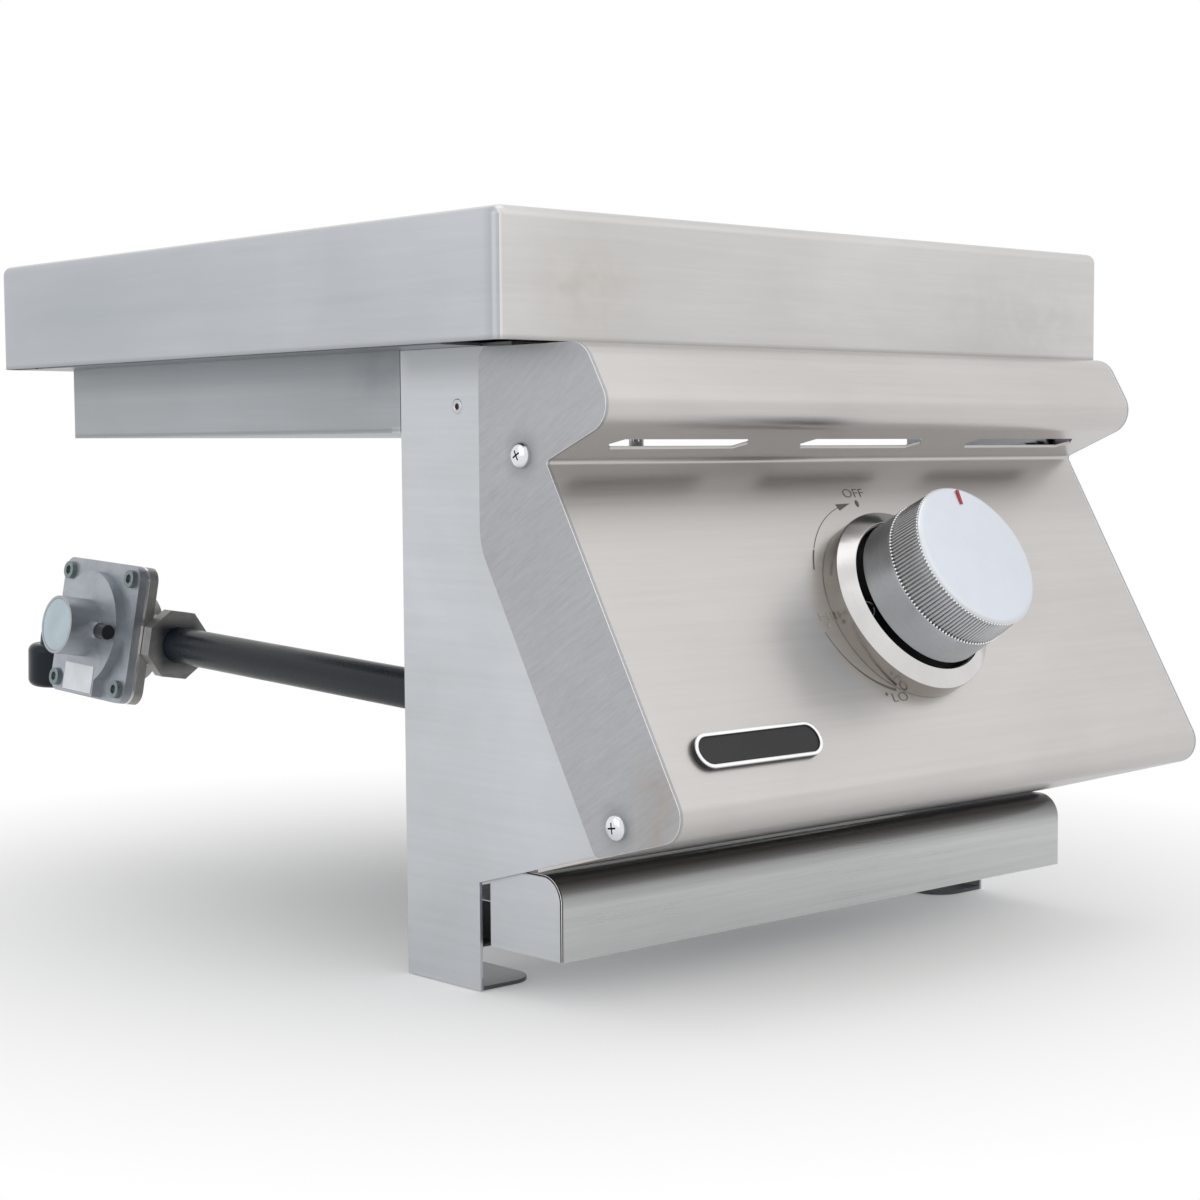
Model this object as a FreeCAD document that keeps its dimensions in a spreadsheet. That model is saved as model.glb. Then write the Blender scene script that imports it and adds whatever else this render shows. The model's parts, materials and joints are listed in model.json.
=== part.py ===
import FreeCAD, Part
import os
import re
import Sketcher

# Built in side burner. The origin is on the burner's axis, a flange level below the worktop plane, on which
# the counter flange of the pan rests. The front faces -Y and +Z is up.

# Driving dimensions, lengths in millimetres and angles in degrees. The margin is how far the shape that
# cuts a hole runs past the faces that it cuts.
sizes = {
    "margin": 1,
    # lid and its bumpers
    "lid_width": 343,
    "lid_depth": 358,
    "lid_rise": 46.6,
    "lid_sheet": 1.2,
    "lid_round": 4,
    "lid_hem": 10,
    "lid_gap": 0.2,
    "bumper_radius": 4,
    "bumper_rise": 2,
    "bumper_front": 124,
    "bumper_back": 130,
    "bumper_inset": 0.3,
    # pan
    "pan_width": 295,
    "pan_front": 155,
    "pan_back": 157.4,
    "pan_deep": 28.2,
    "pan_sheet": 1.2,
    "flange_level": 3,
    "flange_side": 18,
    "flange_back": 17.6,
    "flange_front": 35,
    "flange_setback": 139,
    "relief_slit": 1.5,
    "seam_gap": 0.3,
    # side brackets and rail
    "bracket_sheet": 1.5,
    "leg_back": 90.5,
    "leg_front": 135,
    "leg_drop": 236.8,
    "bracket_top_front": 160,
    "bracket_inset": 4,
    "bracket_nose_round": 11,
    "foot_reach": 29,
    "foot_round": 12,
    "foot_sheet": 1.5,
    "rivet_radius": 2.25,
    "rivet_head": 4,
    "rivet_head_rise": 0.8,
    "rivet_y": 125,
    "rivet_drop": 18.8,
    "cross_rail_back": 95,
    "cross_rail_front": 129,
    "cross_rail_web": 23,
    "cross_rail_sheet": 1.5,
    # control panel
    "panel_sheet": 1.2,
    "ledge_gap": 2,
    "nose_top": 20.6,
    "nose_reach": 36.4,
    "nose_rise": 15,
    "crease_drop": 39.1,
    "face_length": 145.4,
    "face_slope": 30,
    "bottom_reach": 80.7,
    "bottom_slope": 15.3,
    "nose_top_round": 11,
    "nose_round": 10,
    "crease_round": 1.5,
    "lower_round": 9.5,
    "vent_length": 70,
    "vent_width": 8.5,
    "vent_back": 9.8,
    "vent_pitch": 98.5,
    # end caps
    "cap_sheet": 1.5,
    "cap_space": 1.8,
    "cap_deep": 47.8,
    "cap_back": 37.5,
    "cap_top_round": 6,
    "cap_elbow_round": 25,
    "cap_heel_round": 4,
    # panel screws and rivet nuts
    "screw_radius": 2.5,
    "screw_head": 4.8,
    "screw_head_rise": 2.8,
    "screw_length": 14,
    "cross_width": 1.1,
    "cross_span": 5.2,
    "cross_deep": 1.7,
    "screw_up_y": 13.1,
    "screw_up_drop": 36.9,
    "screw_low_back": 36.3,
    "screw_low_under": 0.3,
    "insert_radius": 3.95,
    "insert_flange": 5,
    "insert_bulge": 4.7,
    "insert_bulge_length": 3,
    "insert_length": 12,
    "hole_clearance": 0.1,
    "thread_clearance": 0.05,
    # knob and bezel, in a frame on the sloped face with Z outwards
    "knob_down": 67,
    "bezel_radius": 38.2,
    "bezel_wall": 8,
    "bezel_lip": 12,
    "bezel_bore": 31.1,
    "bezel_floor": 1.6,
    "bezel_hole": 8,
    "bezel_edge": 0.8,
    "bezel_screw_x": 20,
    "bezel_screw_tail": 2,
    "small_screw": 2,
    "small_head": 3.6,
    "small_head_rise": 2,
    "knob_rear": 14.2,
    "knob_skirt": 30.5,
    "skirt_wall": 2,
    "skirt_draw": 1.2,
    "knob_web": 3,
    "grip_rear": 28.8,
    "grip_radius": 30,
    "grip_front": 43.2,
    "knob_front": 45,
    "face_radius": 28.9,
    "face_edge": 1.5,
    "hub_radius": 9,
    "hub_space": 1.4,
    "core_radius": 24,
    "insert_bush": 5,
    "insert_sunk": 2,
    "stem_radius": 3,
    "stem_front": 30,
    "press_travel": 3,
    "pointer_inner": 21.5,
    "pointer_outer": 27.5,
    "pointer_width": 1.3,
    "pointer_sunk": 0.3,
    "pointer_proud": 0.1,
    "pointer_turn": 8,
    # badge
    "badge_up": 29.55,
    "badge_x": 103.95,
    "badge_length": 62.5,
    "badge_width": 13.3,
    "badge_rim": 1.5,
    "badge_rise": 2.5,
    "badge_plate_rise": 1.7,
    # gas valve
    "panel_hole": 7,
    "bonnet_sheet": 3,
    "bonnet_half": 27,
    "bonnet_low": 18,
    "bonnet_high": 35,
    "valve_flange": 17,
    "valve_flange_sheet": 4,
    "valve_radius": 9.5,
    "valve_length": 29.8,
    "plug_radius": 6.5,
    "plug_length": 22,
    "plug_bore": 4.6,
    "plug_bore_deep": 16,
    "collar_length": 3,
    "shaft_clearance": 0.05,
    "bonnet_screw_circle": 13,
    "bonnet_screw": 1.5,
    "bonnet_head": 2.6,
    "bonnet_screw_short": 0.5,
    "spring_radius": 3.6,
    "spring_wire": 0.7,
    "spring_turns": 4,
    "port_radius": 8,
    "valve_snout": 3,
    "gas_bore": 3,
    "orifice_radius": 5,
    "orifice_front": 166,
    "orifice_back": 136,
    "orifice_bore": 1,
    "piezo_radius": 8,
    "piezo_up": 26,
    "piezo_length": 36,
    "piezo_neck": 4,
    "piezo_neck_length": 6,
    # gas pipe, in a frame on its sloping axis
    "pipe_x": 100,
    "pipe_drop": 132.5,
    "pipe_slope": 2.55,
    "pipe_radius": 8.55,
    "pipe_bore": 6.25,
    "pipe_bend": 40,
    "manifold_y": 184,
    "manifold_end": 28.5,
    "end_plug_flange": 8.4,
    "end_plug_sheet": 3,
    "end_plug_length": 9,
    "strap_sheet": 1.5,
    "strap_width": 12,
    "strap_foot": 11,
    "strap_screw_grip": 6,
    # regulator, in the pipe's frame turned about the pipe
    "regulator_back": 191.2,
    "regulator_turn": 9.1,
    "plate_length": 69.5,
    "plate_height": 65.5,
    "plate_round": 7,
    "plate_lift": 1.5,
    "cover_face": 21.5,
    "cover_sheet": 4.2,
    "diaphragm_sheet": 1.4,
    "body_sheet": 4.6,
    "bowl_radius": 22,
    "bowl_deep": 15,
    "chamber_radius": 20,
    "chamber_deep": 4,
    "port_across": 31.5,
    "port_front": 41.6,
    "port_back": 35.2,
    "neck_radius": 12.4,
    "neck_back": 46,
    "socket_deep": 12,
    "socket_end_gap": 1,
    "dome_radius": 27.5,
    "dome_rise": 5,
    "tower_radius": 13.8,
    "tower_rise": 20.5,
    "cap_disc": 12.4,
    "cap_disc_rise": 1.5,
    "cap_plug": 8.5,
    "cap_plug_length": 6,
    "reg_spring_radius": 6,
    "reg_spring_wire": 1.2,
    "reg_spring_turns": 4,
    "vent_boss": 4,
    "vent_boss_end": 20.5,
    "vent_plug_radius": 3.5,
    "vent_plug_length": 7,
    "vent_plug_sunk": 3,
    "vent_plug_step": 0.6,
    "label_length": 26,
    "label_height": 13,
    "label_sheet": 0.3,
    "label_low": 24,
    "label_pad_rim": 1.2,
    "corner_screw_in": 6.5,
    "corner_screw_head": 4.2,
    "corner_screw_rise": 2.4,
    "corner_screw_length": 9,
    "corner_screw_hex": 4,
    "corner_screw_hex_deep": 1.6,
    # inlet elbow
    "elbow_radius": 7,
    "elbow_bore": 5,
    "inlet_port": 7.94,
    "inlet_port_deep": 12,
    "elbow_reach": 77.3,
    "elbow_bend": 11,
    "elbow_drop": 33,
    "elbow_thread": 8,
    "elbow_collar": 13,
    "elbow_collar_length": 22,
    "elbow_collar_round": 4,
    # burner head and mixing tube
    "tube_radius": 16,
    "tube_bore": 14.4,
    "tube_front": 139,
    "tube_drop": 112,
    "tube_bend": 36,
    "tube_top": 24,
    "tube_window_front": 134,
    "tube_window_length": 16,
    "tube_window_height": 12,
    "tube_end_wall": 1.6,
    "tube_end_lap": 0.2,
    "shutter_wall": 1.2,
    "shutter_front": 137,
    "shutter_length": 22,
    "base_throat": 20,
    "base_tail": 40,
    "base_flange": 48,
    "base_flange_sheet": 3,
    "base_cup": 37,
    "base_wall": 4,
    "base_top": 8,
    "base_screw_circle": 43,
    "base_screw_head": 3.4,
    "base_screw_tail": 3,
    "floor_hole": 23,
    "ring_outer": 38,
    "ring_inner": 30,
    "ring_rise": 7,
    "ring_port": 1,
    "ring_ports": 24,
    "cap_radius": 43,
    "cap_rise": 7,
    "cap_spigot": 3,
    "cap_crown": 30,
    # electrode
    "electrode_x": 58,
    "ceramic_radius": 3.5,
    "ceramic_low": 45,
    "ceramic_collar": 5.5,
    "ceramic_collar_rise": 3,
    "ceramic_top": 4,
    "tip_radius": 1,
    "tip_reach": 15,
    "tip_top": 3,
    "tip_bend": 3,
    "clip_sheet": 1.5,
    "clip_length": 26,
    "clip_width": 14,
    "electrode_hole": 4.5,
    # grate
    "grate_width": 242,
    "grate_depth": 262,
    "grate_corner": 20,
    "grate_rod": 4,
    "grate_top": 28.2,
    "grate_leg_in": 35,
    "grate_bar": 3,
    "grate_bars": 7,
    "grate_bar_pitch": 34,
    # drip tray and its rails
    "tray_front_y": 179.5,
    "tray_side_gap": 0.5,
    "tray_floor": 219.5,
    "tray_front_top": 188.4,
    "tray_neck": 139,
    "tray_neck_slant": 2,
    "tray_step": 8,
    "tray_rear_top": 205,
    "tray_rear": 99,
    "tray_sheet": 1,
    "tray_round": 10,
    "tray_lip": 20.5,
    "rail_reach": 19.5,
    "rail_front": 133,
    "rail_back": 93,
    "rail_sheet": 1.2,
    "rail_rise": 18,
    "slide_clearance": 0.05,
}

doc = FreeCAD.newDocument("SideBurner")
sheet = doc.addObject("Spreadsheet::Sheet", "Sizes")
for row, (alias, number) in enumerate(sizes.items(), 1):
    sheet.set(f"A{row}", alias)
    sheet.set(f"B{row}", str(number))
    sheet.setAlias(f"B{row}", alias)
doc.recompute()

vector = FreeCAD.Vector
alias_words = re.compile(r"\b(" + "|".join(sizes) + r")\b")
about_x = "1; 0; 0"
about_y = "0; 1; 0"
about_z = "0; 0; 1"
along_x = (about_y, "90")
along_y = (about_x, "-90")
planes = {"XY": "XY_Plane", "XZ": "XZ_Plane", "YZ": "YZ_Plane"}
sub_parts = []

# Places that several pieces share, as formulas of the sheet's cells
flange_top = "(flange_level + pan_sheet)"
lid_floor = "(flange_level + lid_gap)"
crease_y = "(-lid_depth / 2)"
half_pan = "(pan_width / 2)"
half_inside = f"({half_pan} - bracket_sheet)"
half_panel = f"({half_pan} + cap_space)"
half_outside = f"({half_panel} + cap_sheet)"
floor_top = "(pan_sheet - pan_deep)"
rail_top = "(-tray_floor - slide_clearance)"
tray_top = "(tray_front_top + tray_sheet)"
half_tray = f"({half_inside} - tray_side_gap)"
hub_rear = "(bezel_floor + press_travel + hub_space)"


# Formulas and bindings

def bound(formula):
    return alias_words.sub(r"Sizes.\1", str(formula))


def amount(formula):
    return float(sheet.evalExpression(bound(formula)))


def bind(item, **formulas):
    for name, formula in formulas.items():
        item.setExpression(name, bound(formula))


def place(item, spot, *turns):
    x, y, z = spot
    spin = " * ".join(f"rotation(vector({axis}); {angle})" for axis, angle in turns)
    spin = spin or f"rotation(vector({about_z}); 0)"
    item.setExpression("Placement", bound(f"placement(vector({x}; {y}; {z}); {spin})"))
    return item


def on_face(down, out="0"):
    y = f"({crease_y} - ({down}) * sin(face_slope) - ({out}) * cos(face_slope))"
    z = f"(-crease_drop - ({down}) * cos(face_slope) + ({out}) * sin(face_slope))"
    return y, z


def seat_on_face(item, x="0", down="knob_down"):
    y, z = on_face(down)
    return place(item, (x, y, z), (about_x, "90 - face_slope"))


def seat_on_pipe(item, along="0", roll="0"):
    spot = ("-pipe_x", f"({along}) * cos(pipe_slope)", f"-pipe_drop + ({along}) * sin(pipe_slope)")
    return place(item, spot, (about_x, "pipe_slope"), (about_y, roll))


def sub_part(item, node):
    item.Label = node
    sub_parts.append(item)
    return item


# Primitives and booleans

def box(name, low, size):
    item = doc.addObject("Part::Box", name)
    bind(item, Length=size[0], Width=size[1], Height=size[2])
    return place(item, low)


def rod(name, base, radius, length, *turns):
    item = doc.addObject("Part::Cylinder", name)
    bind(item, Radius=radius, Height=length)
    return place(item, base, *turns)


def ball(name, centre, radius):
    item = doc.addObject("Part::Sphere", name)
    bind(item, Radius=radius)
    return place(item, centre)


def join(name, *items):
    item = doc.addObject("Part::MultiFuse", name)
    item.Shapes = list(items)
    item.Refine = True
    return item


def cut(name, base, *tools):
    item = doc.addObject("Part::Cut", name)
    item.Base = base
    item.Tool = tools[0] if len(tools) == 1 else join(name + "Tools", *tools)
    item.Refine = True
    return item


def common(name, first, second):
    item = doc.addObject("Part::Common", name)
    item.Base = first
    item.Tool = second
    return item


def group(name, items):
    item = doc.addObject("Part::Compound", name)
    item.Links = list(items)
    return item


# Bodies, sketches and their features

def new_body(node):
    body = doc.addObject("PartDesign::Body", node)
    return sub_part(body, node)


def sketch_on(body, plane, offset="0"):
    sketch = body.newObject("Sketcher::SketchObject", body.Name + "Sketch")
    support = next(f for f in body.Origin.OriginFeatures if f.Role == planes[plane])
    sketch.AttachmentSupport = [(support, "")]
    sketch.MapMode = "FlatFace"
    sketch.setExpression("AttachmentOffset.Base.z", bound(offset))
    return sketch


def hold(sketch, kind, element, point, formula):
    number = sketch.addConstraint(Sketcher.Constraint(kind, element, point, amount(formula)))
    sketch.setExpression(f"Constraints[{number}]", bound(formula))


def outline(sketch, corners):
    first = sketch.GeometryCount
    spots = [vector(amount(x), amount(y), 0) for x, y in corners]
    for number, spot in enumerate(spots):
        sketch.addGeometry(Part.LineSegment(spot, spots[(number + 1) % len(spots)]), False)
    for number in range(len(spots)):
        following = first + (number + 1) % len(spots)
        sketch.addConstraint(Sketcher.Constraint("Coincident", first + number, 2, following, 1))
    for number, (x, y) in enumerate(corners):
        hold(sketch, "DistanceX", first + number, 1, x)
        hold(sketch, "DistanceY", first + number, 1, y)
    return sketch


def rectangle(sketch, left, right, low, high):
    return outline(sketch, [(left, low), (right, low), (right, high), (left, high)])


def circle(sketch, x, y, radius):
    spot = vector(amount(x), amount(y), 0)
    number = sketch.addGeometry(Part.Circle(spot, vector(0, 0, 1), amount(radius)), False)
    hold(sketch, "DistanceX", number, 3, x)
    hold(sketch, "DistanceY", number, 3, y)
    radius_number = sketch.addConstraint(Sketcher.Constraint("Radius", number, amount(radius)))
    sketch.setExpression(f"Constraints[{radius_number}]", bound(radius))
    return sketch


def pill(sketch, length, width):
    half, radius = f"(({length}) - ({width})) / 2", f"({width}) / 2"
    x, r = amount(half), amount(radius)
    top = Part.LineSegment(vector(-x, r, 0), vector(x, r, 0))
    bottom = Part.LineSegment(vector(x, -r, 0), vector(-x, -r, 0))
    right_end = Part.Arc(top.EndPoint, vector(x + r, 0, 0), bottom.StartPoint)
    left_end = Part.Arc(bottom.EndPoint, vector(-x - r, 0, 0), top.StartPoint)
    first, right, low, left = sketch.addGeometry([top, right_end, bottom, left_end], False)
    for joint in ((first, 2, right, 2), (right, 1, low, 1), (low, 2, left, 2), (left, 1, first, 1)):
        sketch.addConstraint(Sketcher.Constraint("Tangent", *joint))
    for arc, middle in ((right, half), (left, f"-({half})")):
        hold(sketch, "DistanceX", arc, 3, middle)
        hold(sketch, "DistanceY", arc, 3, "0")
        number = sketch.addConstraint(Sketcher.Constraint("Radius", arc, r))
        sketch.setExpression(f"Constraints[{number}]", bound(radius))
    return sketch


def bent_path(sketch, start, end, radius, upright=False):
    # a run along one of the sketch's axes, an arc and a run along its other axis
    first, last = (vector(amount(x), amount(y), 0) for x, y in (start, end))
    r = amount(radius)
    corner = vector(first.x, last.y, 0) if upright else vector(last.x, first.y, 0)
    towards = (first - corner).normalize()
    away = (last - corner).normalize()
    before, after = corner + towards * r, corner + away * r
    middle = corner + (towards + away) * r * (1 - 0.5 ** 0.5)
    sketch.addGeometry([Part.LineSegment(first, before), Part.Arc(before, middle, after),
                        Part.LineSegment(after, last)], False)
    near_end, far_end = (1, 2) if (sketch.Geometry[1].StartPoint - before).Length < 1e-6 else (2, 1)
    sketch.addConstraint(Sketcher.Constraint("Vertical" if upright else "Horizontal", 0))
    sketch.addConstraint(Sketcher.Constraint("Horizontal" if upright else "Vertical", 2))
    sketch.addConstraint(Sketcher.Constraint("Tangent", 0, 2, 1, near_end))
    sketch.addConstraint(Sketcher.Constraint("Tangent", 1, far_end, 2, 1))
    for line, end_number, spot in ((0, 1, start), (2, 2, end)):
        hold(sketch, "DistanceX", line, end_number, spot[0])
        hold(sketch, "DistanceY", line, end_number, spot[1])
    number = sketch.addConstraint(Sketcher.Constraint("Radius", 1, r))
    sketch.setExpression(f"Constraints[{number}]", bound(radius))
    return sketch


def feature(body, kind, sketch):
    item = body.newObject("PartDesign::" + kind, body.Name + kind)
    item.Profile = sketch
    sketch.Visibility = False
    return item


def pad(body, sketch, length, back=False):
    item = feature(body, "Pad", sketch)
    bind(item, Length=length)
    item.Reversed = back
    doc.recompute()
    return item


def pocket(body, sketch, depth, back=False):
    # cuts against the plane's normal, or along it when back is set
    item = feature(body, "Pocket", sketch)
    bind(item, Length=depth)
    item.Reversed = back
    doc.recompute()
    return item


def boss(body, plane, offset, spot, radius, length, back=False):
    return pad(body, circle(sketch_on(body, plane, offset), *spot, radius), length, back)


def bore(body, plane, offset, spot, radius, depth, back=False):
    return pocket(body, circle(sketch_on(body, plane, offset), *spot, radius), depth, back)


def turn(body, corners):
    # a profile of radius and height, turned about the local Z axis
    sketch = outline(sketch_on(body, "XZ"), corners)
    item = feature(body, "Revolution", sketch)
    item.ReferenceAxis = (sketch, ["V_Axis"])
    item.Angle = 360
    doc.recompute()
    return item


def sweep(body, path, profile):
    doc.recompute()
    item = feature(body, "AdditivePipe", profile)
    item.Spine = (path, [f"Edge{number}" for number in range(1, len(path.Shape.Edges) + 1)])
    path.Visibility = False
    doc.recompute()
    return item


def runs_along(edge, axis):
    straight = edge.Curve.TypeId == "Part::GeomLine"
    return straight and abs(abs(edge.tangentAt(edge.FirstParameter)[axis]) - 1) < 1e-6


def near(edge, axes, spots):
    middle = edge.CenterOfMass
    return any(all(abs(middle[a] - amount(s)) < 0.01 for a, s in zip(axes, spot)) for spot in spots)


def is_rim(edge, radius, heights):
    # a whole circle of the radius, in a level plane at one of the heights
    if edge.Curve.TypeId != "Part::GeomCircle" or abs(edge.Curve.Radius - amount(radius)) > 0.01:
        return False
    return any(abs(edge.CenterOfMass.z - amount(height)) < 0.01 for height in heights)


def fillet(body, radius, test):
    base = body.Tip
    names = [f"Edge{number}" for number, edge in enumerate(base.Shape.Edges, 1)
             if not edge.Degenerated and test(edge)]
    item = body.newObject("PartDesign::Fillet", body.Name + "Fillet")
    item.Base = (base, names)
    bind(item, Radius=radius)
    doc.recompute()
    return item


def fillet_along(body, axis, spots, radius):
    axes = [a for a in (0, 1, 2) if a != axis]
    return fillet(body, radius, lambda edge: runs_along(edge, axis) and near(edge, axes, spots))


def mirrored(corners):
    # a closed outline from its half at negative x, given from back to front
    return corners + [(f"-({x})", y) for x, y in reversed(corners)]


def side_start(side, outer, thickness):
    # where a plate of a thickness starts, so that its outer face lies at the given distance
    return f"-({outer})" if side < 0 else f"({outer}) - ({thickness})"


# Fasteners

def cross_head(name, radius, rise):
    # pan head on z = 0, domed, with a cross recess
    dome = f"(({radius}) ^ 2 + ({rise}) ^ 2) / (2 * ({rise}))"
    drum = rod(name + "Drum", ("0", "0", "0"), radius, rise)
    round_top = ball(name + "Dome", ("0", "0", f"({rise}) * 1.25 - ({dome})"), dome)
    blank = common(name + "Blank", drum, round_top)
    low = f"({rise}) - ({rise}) * cross_deep / screw_head_rise"
    span = f"({radius}) * cross_span / screw_head"
    width = f"({radius}) * cross_width / screw_head"
    first = box(name + "CrossOne", (f"-({span}) / 2", f"-({width}) / 2", low), (span, width, rise))
    second = box(name + "CrossTwo", (f"-({width}) / 2", f"-({span}) / 2", low), (width, span, rise))
    return cut(name + "Head", blank, first, second)


def screw(name, head, rise, shank, length):
    pin = rod(name + "Shank", ("0", "0", f"-({length})"), shank, f"({length}) + ({rise}) / 4")
    return join(name, cross_head(name, head, rise), pin)


# Lid, pan and frame

def make_lid():
    body = new_body("lid")
    half_x, half_y = "lid_width / 2", "lid_depth / 2"
    plan = rectangle(sketch_on(body, "XY", lid_floor), f"-{half_x}", half_x, f"-{half_y}", half_y)
    pad(body, plan, "lid_rise")
    top = amount(f"{lid_floor} + lid_rise")
    fillet(body, "lid_round", lambda edge: runs_along(edge, 2) or abs(edge.CenterOfMass.z - top) < 0.01)
    floor = amount(lid_floor)
    block = body.Tip
    below = [f"Face{number}" for number, face in enumerate(block.Shape.Faces, 1)
             if abs(face.CenterOfMass.z - floor) < 0.01]
    wall = body.newObject("PartDesign::Thickness", "LidWall")
    wall.Base = (block, below)
    wall.Reversed = True
    bind(wall, Value="lid_sheet")
    doc.recompute()
    # the hem is folded in along all four sides, with its corners cut off
    out_x, out_y = f"({half_x} - lid_sheet / 2)", f"({half_y} - lid_sheet / 2)"
    half = [(f"-({out_x} - lid_round)", out_y), (f"-{out_x}", f"{out_y} - lid_round"),
            (f"-{out_x}", f"lid_round - {out_y}"), (f"-({out_x} - lid_round)", f"-{out_y}")]
    hem = outline(sketch_on(body, "XY", f"{flange_top} + bumper_rise"), mirrored(half))
    gap_x, gap_y = f"({half_x} - lid_hem)", f"({half_y} - lid_hem)"
    pad(body, rectangle(hem, f"-{gap_x}", gap_x, f"-{gap_y}", gap_y), "lid_sheet")


def make_lid_bumpers():
    x = f"({half_pan} + flange_side - bumper_radius - bumper_inset)"
    pads = []
    for sign in ("-", ""):
        for y in ("-bumper_front", "bumper_back"):
            pads.append(rod("Bumper", (sign + x, y, flange_top), "bumper_radius", "bumper_rise"))
    sub_part(group("Bumpers", pads), "lid_bumpers")


def pan_plan(inset):
    # plan of the pan, narrower in front where the side brackets lie beside it
    wide, narrow = f"({half_pan} - {inset})", f"({half_inside} - {inset})"
    step = f"-leg_back + seam_gap + {inset}"
    half = [(f"-{wide}", f"pan_back - {inset}"), (f"-{wide}", step),
            (f"-{narrow}", step), (f"-{narrow}", f"-pan_front + {inset}")]
    return mirrored(half)


def make_burner_pan():
    body = new_body("burner_pan")
    pad(body, outline(sketch_on(body, "XY", "-pan_deep"), pan_plan("0")), f"pan_deep + {flange_top}")
    edge_x, edge_y = f"({half_pan} + flange_side)", "(pan_back + flange_back)"
    flange = rectangle(sketch_on(body, "XY", "flange_level"), f"-{edge_x}", edge_x, "-flange_setback", edge_y)
    pad(body, flange, "pan_sheet")
    # the tongue that carries the panel's ledge lies lower than the flange
    tongue = sketch_on(body, "XY")
    tip_y = "-(pan_front + flange_front)"
    rectangle(tongue, f"-{half_inside}", half_inside, tip_y, "pan_sheet - pan_front")
    pad(body, tongue, "pan_sheet")
    hollow = outline(sketch_on(body, "XY", flange_top), pan_plan("pan_sheet"))
    pocket(body, hollow, f"{flange_top} - {floor_top}")
    slits = sketch_on(body, "XY", flange_top)
    for left, right in ((f"-{edge_x} - margin", f"-{half_pan}"), (half_pan, f"{edge_x} + margin")):
        rectangle(slits, left, right, "pan_back", "pan_back + relief_slit")
    pocket(body, slits, "pan_sheet")
    holes = circle(sketch_on(body, "XY", floor_top), "0", "0", "floor_hole")
    for angle in (90, 210, 330):
        spot = (f"base_screw_circle * cos({angle})", f"base_screw_circle * sin({angle})")
        circle(holes, *spot, "small_screw + hole_clearance")
    circle(holes, "electrode_x", "0", "electrode_hole")
    pocket(body, holes, "pan_sheet")
    rivets = circle(sketch_on(body, "YZ", half_pan), "-rivet_y", "-rivet_drop", "rivet_radius")
    pocket(body, rivets, "pan_width")


def make_side_bracket(side, node):
    body = new_body(node)
    inset = "(panel_sheet + bracket_inset)"
    lift = "(panel_sheet / cos(bottom_slope))"
    lower_y, lower_z = on_face("face_length")
    front_y, front_z = on_face("0", f"-{inset}")
    # the face line and the bottom line, both drawn in from the panel, meet in the heel
    drop = f"(({front_z} - {lower_z} - {lift} + ({front_y} - {lower_y}) * tan(bottom_slope))" \
           " / (cos(face_slope) + sin(face_slope) * tan(bottom_slope)))"
    heel = (f"{front_y} - {drop} * sin(face_slope)", f"{front_z} - {drop} * cos(face_slope)")
    knee_z = f"{lower_z} + {lift} - (-leg_front - {lower_y}) * tan(bottom_slope)"
    plate = sketch_on(body, "YZ", side_start(side, half_pan, "bracket_sheet"))
    step = "-(pan_front + ledge_gap - seam_gap)"
    outline(plate, [("-leg_back", "flange_level"), ("-leg_back", "-leg_drop"), ("-leg_front", "-leg_drop"),
                    ("-leg_front", knee_z), heel, (front_y, front_z), ("-bracket_top_front", "0"),
                    (step, "0"), (step, "flange_level")])
    pad(body, plate, "bracket_sheet")
    fillet_along(body, 0, [heel], "bracket_nose_round")
    outer, inner = f"{side} * {half_pan}", f"{side} * ({half_pan} - foot_reach)"
    foot = sketch_on(body, "XY", "-leg_drop")
    pad(body, rectangle(foot, outer, inner, "-leg_front", "-leg_back"), "foot_sheet")
    fillet_along(body, 2, [(inner, "-leg_front"), (inner, "-leg_back")], "foot_round")
    holes = sketch_on(body, "YZ", f"{side} * {half_pan}")
    for y, z in screw_spots():
        circle(holes, y, z, "insert_radius + thread_clearance")
    circle(holes, "-rivet_y", "-rivet_drop", "rivet_radius")
    pocket(body, holes, "bracket_sheet", back=side < 0)


def screw_spots():
    lower_y, lower_z = on_face("face_length")
    return ((f"{crease_y} + screw_up_y", "-screw_up_drop"),
            (f"{lower_y} + screw_low_back", f"{lower_z} - screw_low_under"))


def sideways(side):
    # turns a piece so that its Z axis points away from the middle, to the left or to the right
    return (about_y, "90" if side > 0 else "-90")


def make_bracket_rivets():
    rivets = []
    for side in (-1, 1):
        length = "(bracket_sheet + pan_sheet + rivet_head_rise)"
        pin = rod("RivetPin", ("0", "0", f"-{length}"), "rivet_radius", length)
        tail = rod("RivetTail", ("0", "0", f"-{length}"), "rivet_head", "rivet_head_rise")
        rivet = join("Rivet", pin, tail)
        rivets.append(place(rivet, (f"{side} * {half_pan}", "-rivet_y", "-rivet_drop"), sideways(side)))
    sub_part(group("Rivets", rivets), "bracket_rivets")


def strap_height():
    # the rail's top touches the pipe at its front edge, where the sloping pipe is lowest
    return "(-pipe_drop - cross_rail_front * tan(pipe_slope) - pipe_radius / cos(pipe_slope))"


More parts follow.
